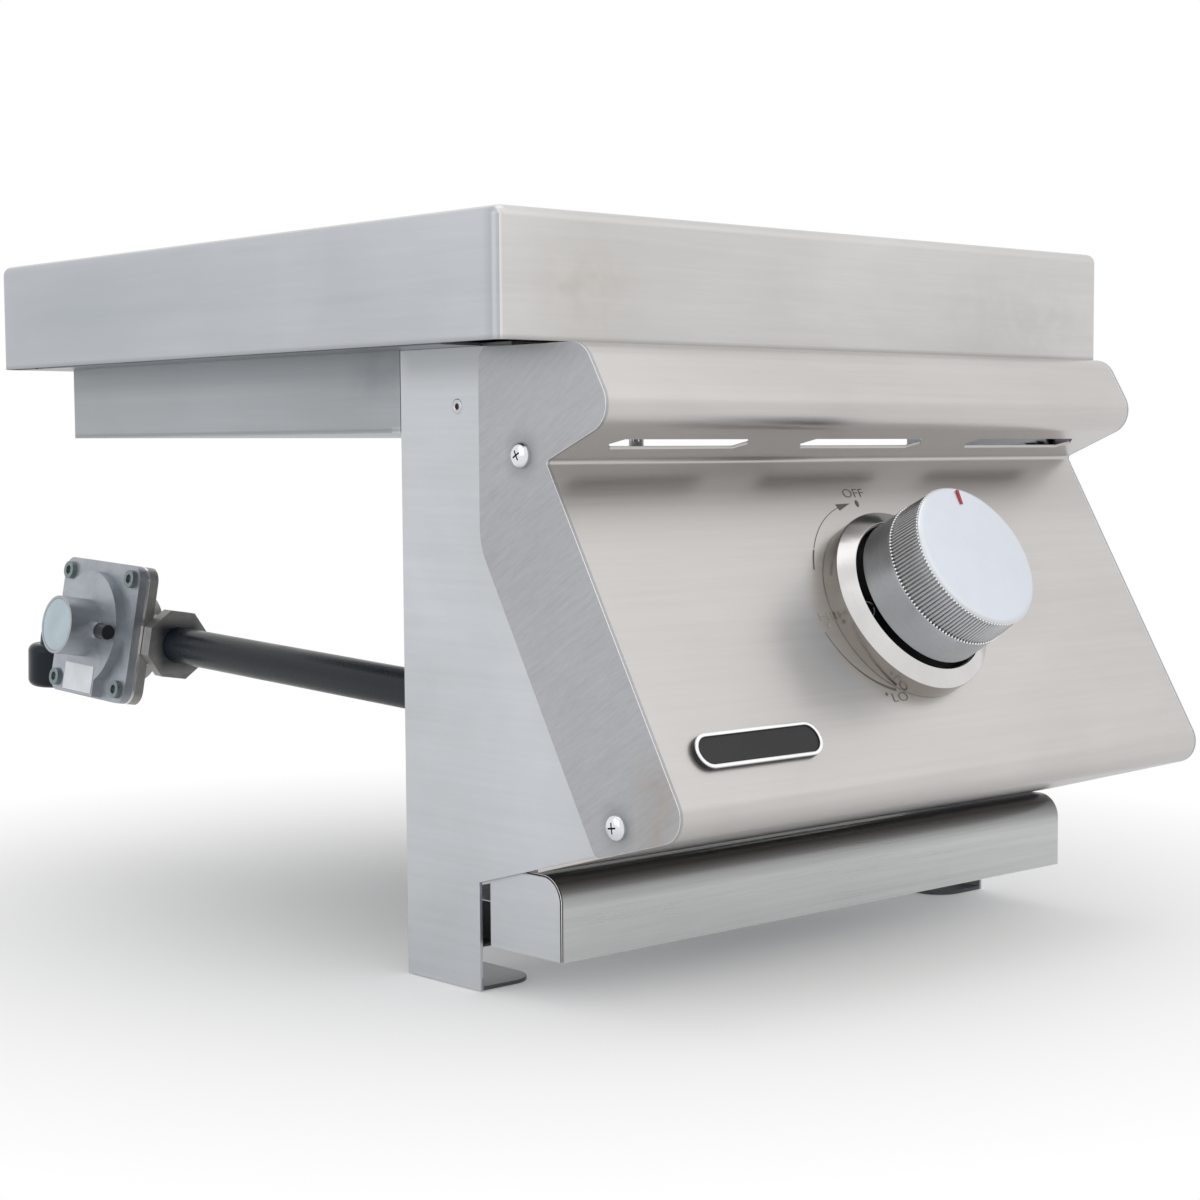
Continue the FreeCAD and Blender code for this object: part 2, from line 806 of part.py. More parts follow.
def make_cross_rail():
    body = new_body("cross_rail")
    top = strap_height()
    low, ceiling = f"{top} - cross_rail_web", f"{top} - cross_rail_sheet"
    front_web, back_web = "-cross_rail_front + cross_rail_sheet", "-cross_rail_back - cross_rail_sheet"
    section = [("-cross_rail_front", low), (front_web, low), (front_web, ceiling),
               (back_web, ceiling), (back_web, low), ("-cross_rail_back", low),
               ("-cross_rail_back", top), ("-cross_rail_front", top)]
    pad(body, outline(sketch_on(body, "YZ", f"-{half_inside}"), section), f"2 * {half_inside}")
    holes = sketch_on(body, "XY", top)
    along = "-cross_rail_front + strap_width / 2 * cos(pipe_slope) + pipe_radius * sin(pipe_slope)"
    for x in strap_screw_places():
        circle(holes, f"-pipe_x + {x}", along, "small_screw + hole_clearance")
    pocket(body, holes, "cross_rail_sheet")


def strap_screw_places():
    reach = "(pipe_radius + strap_sheet + strap_foot / 2)"
    return (f"-{reach}", reach)


def strap_start():
    return "(-cross_rail_front / cos(pipe_slope))"


def make_pipe_strap():
    outer, bore = "(pipe_radius + strap_sheet)", "pipe_radius"
    low = "-pipe_radius"
    arch = rod("StrapArch", ("0", "0", "0"), outer, "strap_width", along_y)
    legs = box("StrapLegs", (f"-{outer}", "0", low), (f"2 * {outer}", "strap_width", "pipe_radius"))
    wide = "strap_width + 2 * margin"
    hollow = rod("StrapHollow", ("0", "-margin", "0"), bore, wide, along_y)
    gap = box("StrapGap", (f"-{bore}", "-margin", f"{low} - margin"),
              (f"2 * {bore}", wide, "pipe_radius + margin"))
    trim = box("StrapTrim", (f"-{outer} - margin", "-margin", f"{low} - {outer}"),
               (f"2 * {outer} + 2 * margin", wide, outer))
    band = cut("StrapBand", join("StrapBlank", arch, legs), hollow, gap, trim)
    feet = [box("StrapFoot", (x, "0", low), ("strap_foot", "strap_width", "strap_sheet"))
            for x in (f"-{outer} - strap_foot", outer)]
    holes = [rod("StrapHole", (x, "strap_width / 2", f"{low} - margin"),
                 "small_screw + hole_clearance",
                 "strap_sheet + 2 * margin") for x in strap_screw_places()]
    strap = cut("Strap", join("StrapWhole", band, *feet), *holes)
    sub_part(seat_on_pipe(strap, strap_start()), "pipe_strap")
    screws = []
    for x in strap_screw_places():
        item = screw("StrapScrew", "small_head", "small_head_rise", "small_screw",
                     "strap_sheet + strap_screw_grip")
        screws.append(place(item, (x, "strap_width / 2", f"{low} + strap_sheet")))
    sub_part(seat_on_pipe(group("StrapScrews", screws), strap_start()), "strap_screws")


# Control panel and its ends

def panel_corners():
    top = "(pan_sheet + panel_sheet)"
    lower_y, lower_z = on_face("face_length")
    return {
        "ledge": ("-(pan_front + ledge_gap)", top),
        "top": (f"{crease_y} - nose_top", top),
        "nose": (f"{crease_y} - nose_reach", "-crease_drop + nose_rise"),
        "crease": (crease_y, "-crease_drop"),
        "lower": (lower_y, lower_z),
        "back": (f"{lower_y} + bottom_reach", f"{lower_z} - bottom_reach * tan(bottom_slope)"),
    }


def round_profile(body, corners):
    for name, radius in (("top", "nose_top_round"), ("nose", "nose_round"),
                         ("crease", "crease_round"), ("lower", "lower_round")):
        fillet_along(body, 0, [corners[name]], radius)


def make_control_panel():
    body = new_body("control_panel")
    corners = panel_corners()
    profile = outline(sketch_on(body, "YZ", f"-{half_panel}"), list(corners.values()))
    pad(body, profile, f"2 * {half_panel}")
    round_profile(body, corners)
    base = body.Tip
    half = amount(half_panel)
    back = [vector(0, amount(corners[name][0]), amount(corners[name][1])) for name in ("ledge", "back")]
    middle = (back[0] + back[1]) * 0.5
    open_faces = []
    for number, face in enumerate(base.Shape.Faces, 1):
        centre = face.CenterOfMass
        if abs(abs(centre.x) - half) < 0.01 or (centre - middle).Length < 0.01:
            open_faces.append(f"Face{number}")
    shell = body.newObject("PartDesign::Thickness", "PanelShell")
    shell.Base = (base, open_faces)
    shell.Reversed = True
    bind(shell, Value="panel_sheet")
    doc.recompute()
    slots = sketch_on(body, "XY", "-crease_drop - nose_rise")
    back_y, front_y = f"{crease_y} - vent_back", f"{crease_y} - vent_back - vent_width"
    mid_y = f"{crease_y} - vent_back - vent_width / 2"
    for step in (-1, 0, 1):
        # each slot has pointed ends
        left, right = f"{step} * vent_pitch - vent_length / 2", f"{step} * vent_pitch + vent_length / 2"
        in_left, in_right = f"{left} + vent_width / 2", f"{right} - vent_width / 2"
        outline(slots, [(left, mid_y), (in_left, front_y), (in_right, front_y),
                        (right, mid_y), (in_right, back_y), (in_left, back_y)])
    pocket(body, slots, "2 * nose_rise", back=True)
    holes = sketch_on(body, "XY")
    y, z = on_face("knob_down")
    tilt = f"placement(vector(0; {y}; {z}); rotation(vector({about_x}); 90 - face_slope))"
    holes.setExpression("AttachmentOffset.Base.z", None)
    holes.setExpression("AttachmentOffset", bound(tilt))
    circle(holes, "0", "0", "panel_hole")
    for sign in ("-", ""):
        circle(holes, f"{sign}bezel_screw_x", "0", "small_screw + hole_clearance")
    pocket(body, holes, "2 * panel_sheet")


def make_end_cap(side, node):
    body = new_body(node)
    corners = panel_corners()
    lower_y, lower_z = on_face("face_length")
    back_y = f"{crease_y} + cap_back"
    line_y, line_z = on_face("0", "-cap_deep")
    elbow = (back_y, f"{line_z} + ({back_y} - {line_y}) / tan(face_slope)")
    # the rear line runs parallel to the face and ends on the panel's bottom line
    drop = f"(({line_z} - {lower_z} + ({line_y} - {lower_y}) * tan(bottom_slope))" \
           " / (cos(face_slope) + sin(face_slope) * tan(bottom_slope)))"
    heel = (f"{line_y} - {drop} * sin(face_slope)", f"{line_z} - {drop} * cos(face_slope)")
    shoulder = (back_y, corners["ledge"][1])
    loop = [shoulder, corners["top"], corners["nose"], corners["crease"], corners["lower"], heel, elbow]
    plate = outline(sketch_on(body, "YZ", side_start(side, half_outside, "cap_sheet")), loop)
    pad(body, plate, "cap_sheet")
    round_profile(body, corners)
    fillet_along(body, 0, [shoulder], "cap_top_round")
    fillet_along(body, 0, [elbow], "cap_elbow_round")
    fillet_along(body, 0, [heel], "cap_heel_round")
    holes = sketch_on(body, "YZ", f"{side} * {half_outside}")
    for y, z in screw_spots():
        circle(holes, y, z, "screw_radius + hole_clearance")
    pocket(body, holes, "cap_sheet", back=side < 0)


def make_panel_fasteners():
    screws, inserts = [], []
    for side in (-1, 1):
        for y, z in screw_spots():
            item = screw("PanelScrew", "screw_head", "screw_head_rise", "screw_radius", "screw_length")
            screws.append(place(item, (f"{side} * {half_outside}", y, z), sideways(side)))
            flange = rod("InsertFlange", ("0", "0", "0"), "insert_flange", "cap_space")
            barrel = rod("InsertBarrel", ("0", "0", "-insert_length"), "insert_radius", "insert_length")
            bulge = rod("InsertBulge", ("0", "0", "-bracket_sheet - insert_bulge_length"), "insert_bulge",
                        "insert_bulge_length")
            bore = rod("InsertBore", ("0", "0", "-insert_length - margin"),
                       "screw_radius + thread_clearance",
                       "insert_length + cap_space + 2 * margin")
            nut = cut("Insert", join("InsertBlank", flange, barrel, bulge), bore)
            inserts.append(place(nut, (f"{side} * {half_pan}", y, z), sideways(side)))
    sub_part(group("PanelScrews", screws), "panel_screws")
    sub_part(group("PanelScrewInserts", inserts), "panel_screw_inserts")


def make_badge():
    rim = new_body("badge_rim")
    down = "(face_length - badge_up)"
    ring = pill(sketch_on(rim, "XY"), "badge_length", "badge_width")
    pill(ring, "badge_length - 2 * badge_rim", "badge_width - 2 * badge_rim")
    pad(rim, ring, "badge_rise")
    seat_on_face(rim, "-badge_x", down)
    plate = new_body("badge_plate")
    inner = pill(sketch_on(plate, "XY"), "badge_length - 2 * badge_rim", "badge_width - 2 * badge_rim")
    pad(plate, inner, "badge_plate_rise")
    seat_on_face(plate, "-badge_x", down)


# Knob and bezel

def make_knob_bezel():
    body = new_body("knob_bezel")
    turn(body, [("bezel_hole", "0"), ("bezel_radius", "0"), ("bezel_radius", "bezel_wall"),
                ("bezel_bore + bezel_edge", "bezel_lip"),
                ("bezel_bore", "bezel_lip - bezel_edge"), ("bezel_bore", "bezel_floor"),
                ("bezel_hole", "bezel_floor")])
    holes = sketch_on(body, "XY", "bezel_floor")
    for sign in ("-", ""):
        circle(holes, f"{sign}bezel_screw_x", "0", "small_screw + hole_clearance")
    pocket(body, holes, "bezel_floor")
    seat_on_face(body)
    screws = []
    for sign in ("-", ""):
        length = "bezel_floor + panel_sheet + bonnet_sheet + bezel_screw_tail"
        item = screw("BezelScrew", "small_head", "small_head_rise", "small_screw", length)
        screws.append(place(item, (f"{sign}bezel_screw_x", "0", "bezel_floor")))
    sub_part(seat_on_face(group("BezelScrews", screws)), "bezel_screws")


def make_knob():
    body = new_body("knob_body")
    web = "(grip_rear - knob_web)"
    inner = "(knob_skirt - skirt_wall)"
    turn(body, [("insert_bush", hub_rear), ("hub_radius", hub_rear), ("hub_radius", web),
                (f"{inner} - skirt_draw", web), (inner, "knob_rear"), ("knob_skirt", "knob_rear"),
                ("grip_radius", "grip_rear"), ("core_radius", "grip_rear"), ("core_radius", "grip_front"),
                ("insert_bush", "grip_front")])
    seat_on_face(body)
    bush = new_body("knob_insert")
    bush_front = "(grip_front - insert_sunk)"
    turn(bush, [("stem_radius + thread_clearance", hub_rear), ("insert_bush", hub_rear),
                ("insert_bush", bush_front), ("0", bush_front), ("0", "stem_front"),
                ("stem_radius + thread_clearance", "stem_front")])
    seat_on_face(bush)
    grip = new_body("knob_grip")
    turn(grip, [("core_radius", "grip_rear"), ("grip_radius", "grip_rear"),
                ("(grip_radius + face_radius) / 2", "grip_front"), ("core_radius", "grip_front")])
    seat_on_face(grip)
    face = new_body("knob_face")
    turn(face, [("0", "grip_front"), ("face_radius", "grip_front"), ("face_radius", "knob_front - face_edge"),
                ("face_radius - face_edge * 0.3", "knob_front - face_edge * 0.3"),
                ("face_radius - face_edge", "knob_front"), ("0", "knob_front")])
    pocket(face, pointer_outline(face, "knob_front"), "pointer_sunk")
    seat_on_face(face)
    pointer = new_body("knob_pointer")
    pad(pointer, pointer_outline(pointer, "knob_front - pointer_sunk"), "pointer_sunk + pointer_proud")
    seat_on_face(pointer)


def pointer_outline(body, height):
    # a short line along a radius, turned clockwise from straight up
    corners = []
    for across, along in (("-0.5", "pointer_inner"), ("0.5", "pointer_inner"),
                          ("0.5", "pointer_outer"), ("-0.5", "pointer_outer")):
        x = f"{across} * pointer_width * cos(pointer_turn) + {along} * sin(pointer_turn)"
        y = f"{along} * cos(pointer_turn) - {across} * pointer_width * sin(pointer_turn)"
        corners.append((x, y))
    return outline(sketch_on(body, "XY", height), corners)


# Gas valve behind the panel

def valve_inner():
    # distance from the face to the bonnet's back, where the valve body starts
    return "(panel_sheet + bonnet_sheet)"


def make_valve():
    bonnet = new_body("valve_bonnet")
    back = valve_inner()
    plate = sketch_on(bonnet, "XY", f"-{back}")
    pad(bonnet, rectangle(plate, "-bonnet_half", "bonnet_half", "-bonnet_low", "bonnet_high"), "bonnet_sheet")
    holes = circle(sketch_on(bonnet, "XY", "-panel_sheet"), "0", "0", "stem_radius + shaft_clearance")
    for sign in ("-", ""):
        circle(holes, f"{sign}bezel_screw_x", "0", "small_screw + thread_clearance")
        circle(holes, "0", f"{sign}bonnet_screw_circle", "bonnet_screw + thread_clearance")
    pocket(bonnet, holes, "bonnet_sheet")
    seat_on_face(bonnet)
    make_valve_body(back)
    screws = []
    for sign in ("-", ""):
        item = screw("BonnetScrew", "bonnet_head", "small_head_rise", "bonnet_screw",
                     "valve_flange_sheet + bonnet_sheet - bonnet_screw_short")
        spot = ("0", f"{sign}bonnet_screw_circle", f"-{back} - valve_flange_sheet")
        screws.append(place(item, spot, (about_x, "180")))
    sub_part(seat_on_face(group("BonnetScrews", screws)), "bonnet_screws")
    piezo = rod("Piezo", ("0", "piezo_up", f"-{back} - piezo_length"), "piezo_radius", "piezo_length")
    neck = rod("PiezoNeck", ("0", "piezo_up", f"-{back} - piezo_length - piezo_neck_length"), "piezo_neck",
               "piezo_neck_length + margin")
    sub_part(seat_on_face(join("PiezoIgniter", piezo, neck)), "piezo_igniter")


def make_valve_body(back):
    y, z = on_face("knob_down")
    tilt = (about_x, "90 - face_slope")
    start = on_face("knob_down", f"-{back}")
    rear = on_face("knob_down", f"-{back} - valve_length")
    flange_end = on_face("knob_down", f"-{back} - valve_flange_sheet")
    flange = rod("ValveFlange", ("0", *flange_end), "valve_flange", "valve_flange_sheet", tilt)
    barrel = rod("ValveBarrel", ("0", *rear), "valve_radius", "valve_length", tilt)
    manifold_y = "(-manifold_y * cos(pipe_slope))"
    manifold_top = "(-pipe_drop - manifold_y * sin(pipe_slope) + pipe_radius)"
    inlet = rod("ValveInlet", ("0", manifold_y, manifold_top), "port_radius", f"-tube_drop - {manifold_top}")
    elbow = ball("ValveElbow", ("0", manifold_y, "-tube_drop"), "port_radius")
    outlet = rod("ValveOutlet", ("0", manifold_y, "-tube_drop"), "port_radius",
                 f"-orifice_front + valve_snout - {manifold_y}", along_y)
    plug_rear = on_face("knob_down", f"-{back} - valve_flange_sheet - plug_length")
    bore = rod("ValveBore", ("0", *plug_rear), "plug_radius + shaft_clearance",
               "plug_length + valve_flange_sheet + margin", tilt)
    way_up = f"-tube_drop - {manifold_top} + margin"
    gas_in = rod("ValveGasIn", ("0", manifold_y, f"{manifold_top} - margin"), "gas_bore", way_up)
    way_out = f"-orifice_front + valve_snout + margin - {manifold_y}"
    gas_out = rod("ValveGasOut", ("0", manifold_y, "-tube_drop"), "gas_bore", way_out, along_y)
    seat_radius = "orifice_radius + thread_clearance"
    seat = rod("OrificeSeat", ("0", "-orifice_front", "-tube_drop"), seat_radius, "port_radius", along_y)
    screw_holes = []
    for sign in ("-", ""):
        spot = (f"{y} + ({sign}bonnet_screw_circle) * sin(face_slope)",
                f"{z} + ({sign}bonnet_screw_circle) * cos(face_slope)")
        shift = f"(-{back} - valve_flange_sheet - margin)"
        hole_spot = ("0", f"{spot[0]} - {shift} * cos(face_slope)", f"{spot[1]} + {shift} * sin(face_slope)")
        screw_holes.append(rod("ValveScrewHole", hole_spot, "bonnet_screw + hole_clearance",
                               "valve_flange_sheet + 2 * margin", tilt))
    blank = join("ValveBlank", flange, barrel, inlet, elbow, outlet)
    body = cut("ValveBody", blank, bore, gas_in, gas_out, seat, *screw_holes)
    sub_part(body, "valve_body")
    tip = rod("OrificeRod", ("0", "-orifice_front", "-tube_drop"), "orifice_radius",
              "orifice_front - orifice_back", along_y)
    jet = rod("OrificeJet", ("0", "-orifice_front - margin", "-tube_drop"), "orifice_bore",
              "orifice_front - orifice_back + 2 * margin", along_y)
    sub_part(cut("Orifice", tip, jet), "orifice")
    make_valve_inside(back)


def make_valve_inside(back):
    plug_back = f"(-{back} - valve_flange_sheet - plug_length + shaft_clearance)"
    plug_front = f"(-{back} - valve_flange_sheet)"
    floor = f"({plug_front} - plug_bore_deep)"
    plug = new_body("valve_plug")
    turn(plug, [("0", plug_back), ("plug_radius", plug_back), ("plug_radius", plug_front),
                ("plug_bore", plug_front), ("plug_bore", floor), ("0", floor)])
    seat_on_face(plug)
    stem = new_body("valve_stem")
    collar_back = f"(-{back} - collar_length - shaft_clearance)"
    collar = "(plug_bore - shaft_clearance)"
    collar_front = f"{collar_back} + collar_length"
    turn(stem, [("0", collar_back), (collar, collar_back), (collar, collar_front),
                ("stem_radius", collar_front), ("stem_radius", "stem_front"), ("0", "stem_front")])
    seat_on_face(stem)
    spring = coil("StemSpring", floor, collar_back, "spring_radius", "spring_wire", "spring_turns")
    sub_part(seat_on_face(spring), "stem_spring")


def coil(name, low, high, radius, wire, turns):
    # a round wire spring about the local Z axis between two heights
    spine = doc.addObject("Part::Helix", name + "Helix")
    length = f"(({high}) - ({low}) - 2 * ({wire}))"
    bind(spine, Radius=radius, Pitch=f"{length} / ({turns})", Height=length)
    section = doc.addObject("Part::Circle", name + "Section")
    bind(section, Radius=wire)
    place(section, (radius, "0", "0"), (about_x, "90"))
    item = doc.addObject("Part::Sweep", name + "Wire")
    item.Sections = [section]
    item.Spine = spine
    item.Solid = True
    item.Frenet = True
    place(item, ("0", "0", f"({low}) + ({wire})"))
    return group(name, [item])


# Gas pipe and regulator

def make_gas_pipe():
    body = new_body("gas_pipe")
    end = "(regulator_back - port_front + socket_deep)"
    route = sketch_on(body, "XY")
    bent_path(route, ("0", end), ("pipe_x + manifold_end", "-manifold_y"), "pipe_bend", upright=True)
    section = circle(sketch_on(body, "XZ", f"-{end}"), "0", "0", "pipe_radius")
    circle(section, "0", "0", "pipe_bore")
    sweep(body, route, section)
    tap = circle(sketch_on(body, "XY", "pipe_radius + margin"), "pipe_x", "-manifold_y", "gas_bore")
    pocket(body, tap, "pipe_radius")
    seat_on_pipe(body)
    stub_radius = "pipe_bore - thread_clearance"
    stub = rod("PlugStub", ("-end_plug_length", "0", "0"), stub_radius, "end_plug_length", along_x)
    head = rod("PlugHead", ("0", "0", "0"), "end_plug_flange", "end_plug_sheet", along_x)
    plug = join("EndPlug", stub, head)
    place(plug, ("pipe_x + manifold_end", "-manifold_y", "0"))
    sub_part(seat_on_pipe(group("PipeEndPlug", [plug])), "pipe_end_plug")


def plate_blank(body, start, thickness, holes=True):
    # rounded plate across the regulator, its thickness along local X
    half, high = "(plate_length / 2)", "(plate_height / 2)"
    low_z, top_z = f"plate_lift - {high}", f"plate_lift + {high}"
    pad(body, rectangle(sketch_on(body, "YZ", start), f"-{half}", half, low_z, top_z), thickness)
    fillet_along(body, 0, [(y, z) for y in (f"-{half}", half) for z in (low_z, top_z)], "plate_round")
    if holes:
        spots = sketch_on(body, "YZ", f"{start} + {thickness}")
        for y, z in corner_screw_spots():
            circle(spots, y, z, "small_screw + hole_clearance")
        pocket(body, spots, thickness)


def corner_screw_spots():
    y = "(plate_length / 2 - corner_screw_in)"
    z = "(plate_height / 2 - corner_screw_in)"
    return [(f"{sy}{y}", f"plate_lift + {sz} * {z}") for sy in ("-", "") for sz in ("-1", "1")]


def make_regulator():
    roll = "regulator_turn"
    flange = "(cover_face - cover_sheet)"
    face = f"({flange} - diaphragm_sheet)"
    rear = f"({face} - body_sheet)"
    cover = new_body("regulator_cover")
    plate_blank(cover, "-cover_face", "cover_sheet")
    middle = ("0", "plate_lift")
    boss(cover, "YZ", "-cover_face", middle, "dome_radius", "dome_rise", back=True)
    label_half = "(label_length / 2 + label_pad_rim)"
    low = "(plate_lift - label_low - label_height / 2 - label_pad_rim)"
    high = f"{low} + label_height + 2 * label_pad_rim"
    seat = rectangle(sketch_on(cover, "YZ", "-cover_face"), f"-{label_half}", label_half, low, high)
    pad(cover, seat, "dome_rise", back=True)
    top = "(cover_face + tower_rise)"
    boss(cover, "YZ", "-cover_face", middle, "tower_radius", "tower_rise", back=True)
    boss_x = "-(cover_face + dome_rise + vent_plug_radius + seam_gap / 2)"
    vent = (boss_x, "plate_lift")
    boss(cover, "XZ", "0", vent, "vent_boss", "vent_boss_end")
    bore(cover, "XZ", "vent_boss_end", vent, "vent_plug_radius - vent_plug_step", "vent_plug_sunk")
    bore(cover, "YZ", f"-{flange}", middle, "chamber_radius", "cover_sheet")
    bore(cover, "YZ", f"-{flange}", middle, "cap_plug + thread_clearance", f"{top} - {flange}")
    bore(cover, "YZ", f"-{top}", middle, "cap_disc + thread_clearance", "cap_disc_rise", back=True)
    seat_on_pipe(cover, "regulator_back", roll)
    diaphragm = new_body("regulator_diaphragm")
    plate_blank(diaphragm, f"-{flange}", "diaphragm_sheet")
    seat_on_pipe(diaphragm, "regulator_back", roll)
    make_regulator_body(face, rear, roll)
    make_regulator_trim(flange, top, boss_x, low, roll)


def make_regulator_body(face, rear, roll):
    body = new_body("regulator_body")
    plate_blank(body, f"-{face}", "body_sheet")
    axis = ("0", "0")
    boss(body, "YZ", f"-{rear}", axis, "bowl_radius", "bowl_deep")
    reach = "port_across / 2 / cos(22.5)"
    corners = [(f"{reach} * cos({angle} + 22.5)", f"{reach} * sin({angle} + 22.5)")
               for angle in range(0, 360, 45)]
    pad(body, outline(sketch_on(body, "XZ", "port_back"), corners), "port_front - port_back")
    boss(body, "XZ", "port_back", axis, "neck_radius", "port_back + neck_back", back=True)
    bore(body, "XZ", "port_front", axis, "pipe_radius", "socket_deep")
    bore(body, "XZ", "port_front", axis, "elbow_bore", "port_front + neck_back + margin")
    bore(body, "XZ", "-neck_back", axis, "elbow_thread", "socket_deep", back=True)
    bore(body, "YZ", f"-{face}", ("0", "plate_lift"), "chamber_radius", "chamber_deep", back=True)
    seat_on_pipe(body, "regulator_back", roll)


def make_regulator_trim(flange, top, boss_x, low, roll):
    end = (f"-{top}", "0", "plate_lift")
    disc = rod("CapDisc", end, "cap_disc", "cap_disc_rise", along_x)
    plug = rod("CapPlug", end, "cap_plug", "cap_disc_rise + cap_plug_length", along_x)
    cap = join("RegulatorCap", disc, plug)
    sub_part(seat_on_pipe(group("RegulatorCapSet", [cap]), "regulator_back", roll), "regulator_cap")
    length = f"({top} - cap_disc_rise - cap_plug_length - {flange})"
    spring = coil("RegulatorCoil", "0", length, "reg_spring_radius", "reg_spring_wire", "reg_spring_turns")
    place(spring, (f"-{flange}", "0", "plate_lift"), (about_y, "-90"))
    sub_part(seat_on_pipe(group("RegulatorSpring", [spring]), "regulator_back", roll), "regulator_spring")
    towards_front = (about_x, "90")
    plug_start = (boss_x, "-vent_boss_end", "plate_lift")
    plug_end = rod("VentPlugBody", plug_start, "vent_plug_radius", "vent_plug_length", towards_front)
    pin_start = (boss_x, "-vent_boss_end + vent_plug_sunk", "plate_lift")
    pin_radius = "vent_plug_radius - vent_plug_step - thread_clearance"
    pin = rod("VentPlugPin", pin_start, pin_radius, "vent_plug_sunk", towards_front)
    vent = group("VentPlugSet", [join("VentPlug", plug_end, pin)])
    sub_part(seat_on_pipe(vent, "regulator_back", roll), "vent_plug")
    label_corner = ("-(cover_face + dome_rise + label_sheet)", "-label_length / 2", f"{low} + label_pad_rim")
    label = box("Label", label_corner, ("label_sheet", "label_length", "label_height"))
    sub_part(seat_on_pipe(group("RegulatorLabel", [label]), "regulator_back", roll), "regulator_label")
    screws = []
    for y, z in corner_screw_spots():
        drum = rod("CornerHead", ("0", "0", "0"), "corner_screw_head", "corner_screw_rise")
        key = doc.addObject("Part::Prism", "CornerKey")
        key.Polygon = 6
        bind(key, Circumradius="corner_screw_hex / sqrt(3)", Height="corner_screw_rise")
        place(key, ("0", "0", "corner_screw_rise - corner_screw_hex_deep"))
        shank = rod("CornerShank", ("0", "0", "-corner_screw_length"), "small_screw", "corner_screw_length")
        item = join("CornerScrew", cut("CornerHeadKeyed", drum, key), shank)
        screws.append(place(item, ("-cover_face", y, z), (about_y, "-90")))
    sub_part(seat_on_pipe(group("RegulatorScrews", screws), "regulator_back", roll), "regulator_screws")


def make_inlet_elbow():
    body = new_body("inlet_elbow")
    start = "(neck_back + seam_gap)"
    path = sketch_on(body, "YZ")
    bent_path(path, ("elbow_reach", "-elbow_drop"), (start, "0"), "elbow_bend", upright=True)
    section = circle(sketch_on(body, "XY", "-elbow_drop"), "0", "elbow_reach", "elbow_radius")
    circle(section, "0", "elbow_reach", "elbow_bore")
    sweep(body, path, section)
    thread = circle(sketch_on(body, "XZ", f"-{start}"), "0", "0", "elbow_thread - thread_clearance")
    circle(thread, "0", "0", "elbow_bore")
    pad(body, thread, "socket_deep - socket_end_gap")
    collar = circle(sketch_on(body, "XY", "-elbow_drop"), "0", "elbow_reach", "elbow_collar")
    circle(collar, "0", "elbow_reach", "elbow_bore")
    pad(body, collar, "elbow_collar_length")
    rims = ("-elbow_drop", "elbow_collar_length - elbow_drop")
    fillet(body, "elbow_collar_round", lambda edge: is_rim(edge, "elbow_collar", rims))
    port = circle(sketch_on(body, "XY", "-elbow_drop"), "0", "elbow_reach", "inlet_port")
    pocket(body, port, "inlet_port_deep", back=True)
    seat_on_pipe(body, "regulator_back")


# Burner head, mixing tube and electrode

def make_venturi():
    body = new_body("venturi_tube")
    path = sketch_on(body, "YZ")
    bent_path(path, ("-tube_front", "-tube_drop"), ("0", "-tube_top"), "tube_bend")
    section = circle(sketch_on(body, "XZ", "tube_front"), "0", "-tube_drop", "tube_radius")
    circle(section, "0", "-tube_drop", "tube_bore")
    sweep(body, path, section)
    wall = circle(sketch_on(body, "XZ", "tube_front"), "0", "-tube_drop", "tube_bore + tube_end_lap")
    circle(wall, "0", "-tube_drop", "orifice_radius + thread_clearance")
    pad(body, wall, "tube_end_wall", back=True)
    windows = sketch_on(body, "YZ", "tube_radius + margin")
    rectangle(windows, "-tube_window_front", "-tube_window_front + tube_window_length",
              "-tube_drop - tube_window_height / 2", "-tube_drop + tube_window_height / 2")
    pocket(body, windows, "2 * tube_radius + 2 * margin")
    shutter = new_body("air_shutter")
    inner = "(tube_radius + shaft_clearance)"
    ring = circle(sketch_on(shutter, "XZ", "shutter_front"), "0", "-tube_drop", f"{inner} + shutter_wall")
    circle(ring, "0", "-tube_drop", inner)
    pad(shutter, ring, "shutter_length", back=True)
    ports = sketch_on(shutter, "YZ", "tube_radius + shutter_wall + margin")
    rectangle(ports, "-tube_window_front", "-tube_window_front + tube_window_length",
              "-tube_drop - tube_window_height / 2", "-tube_drop + tube_window_height / 2")
    pocket(shutter, ports, "2 * (tube_radius + shutter_wall + margin)")


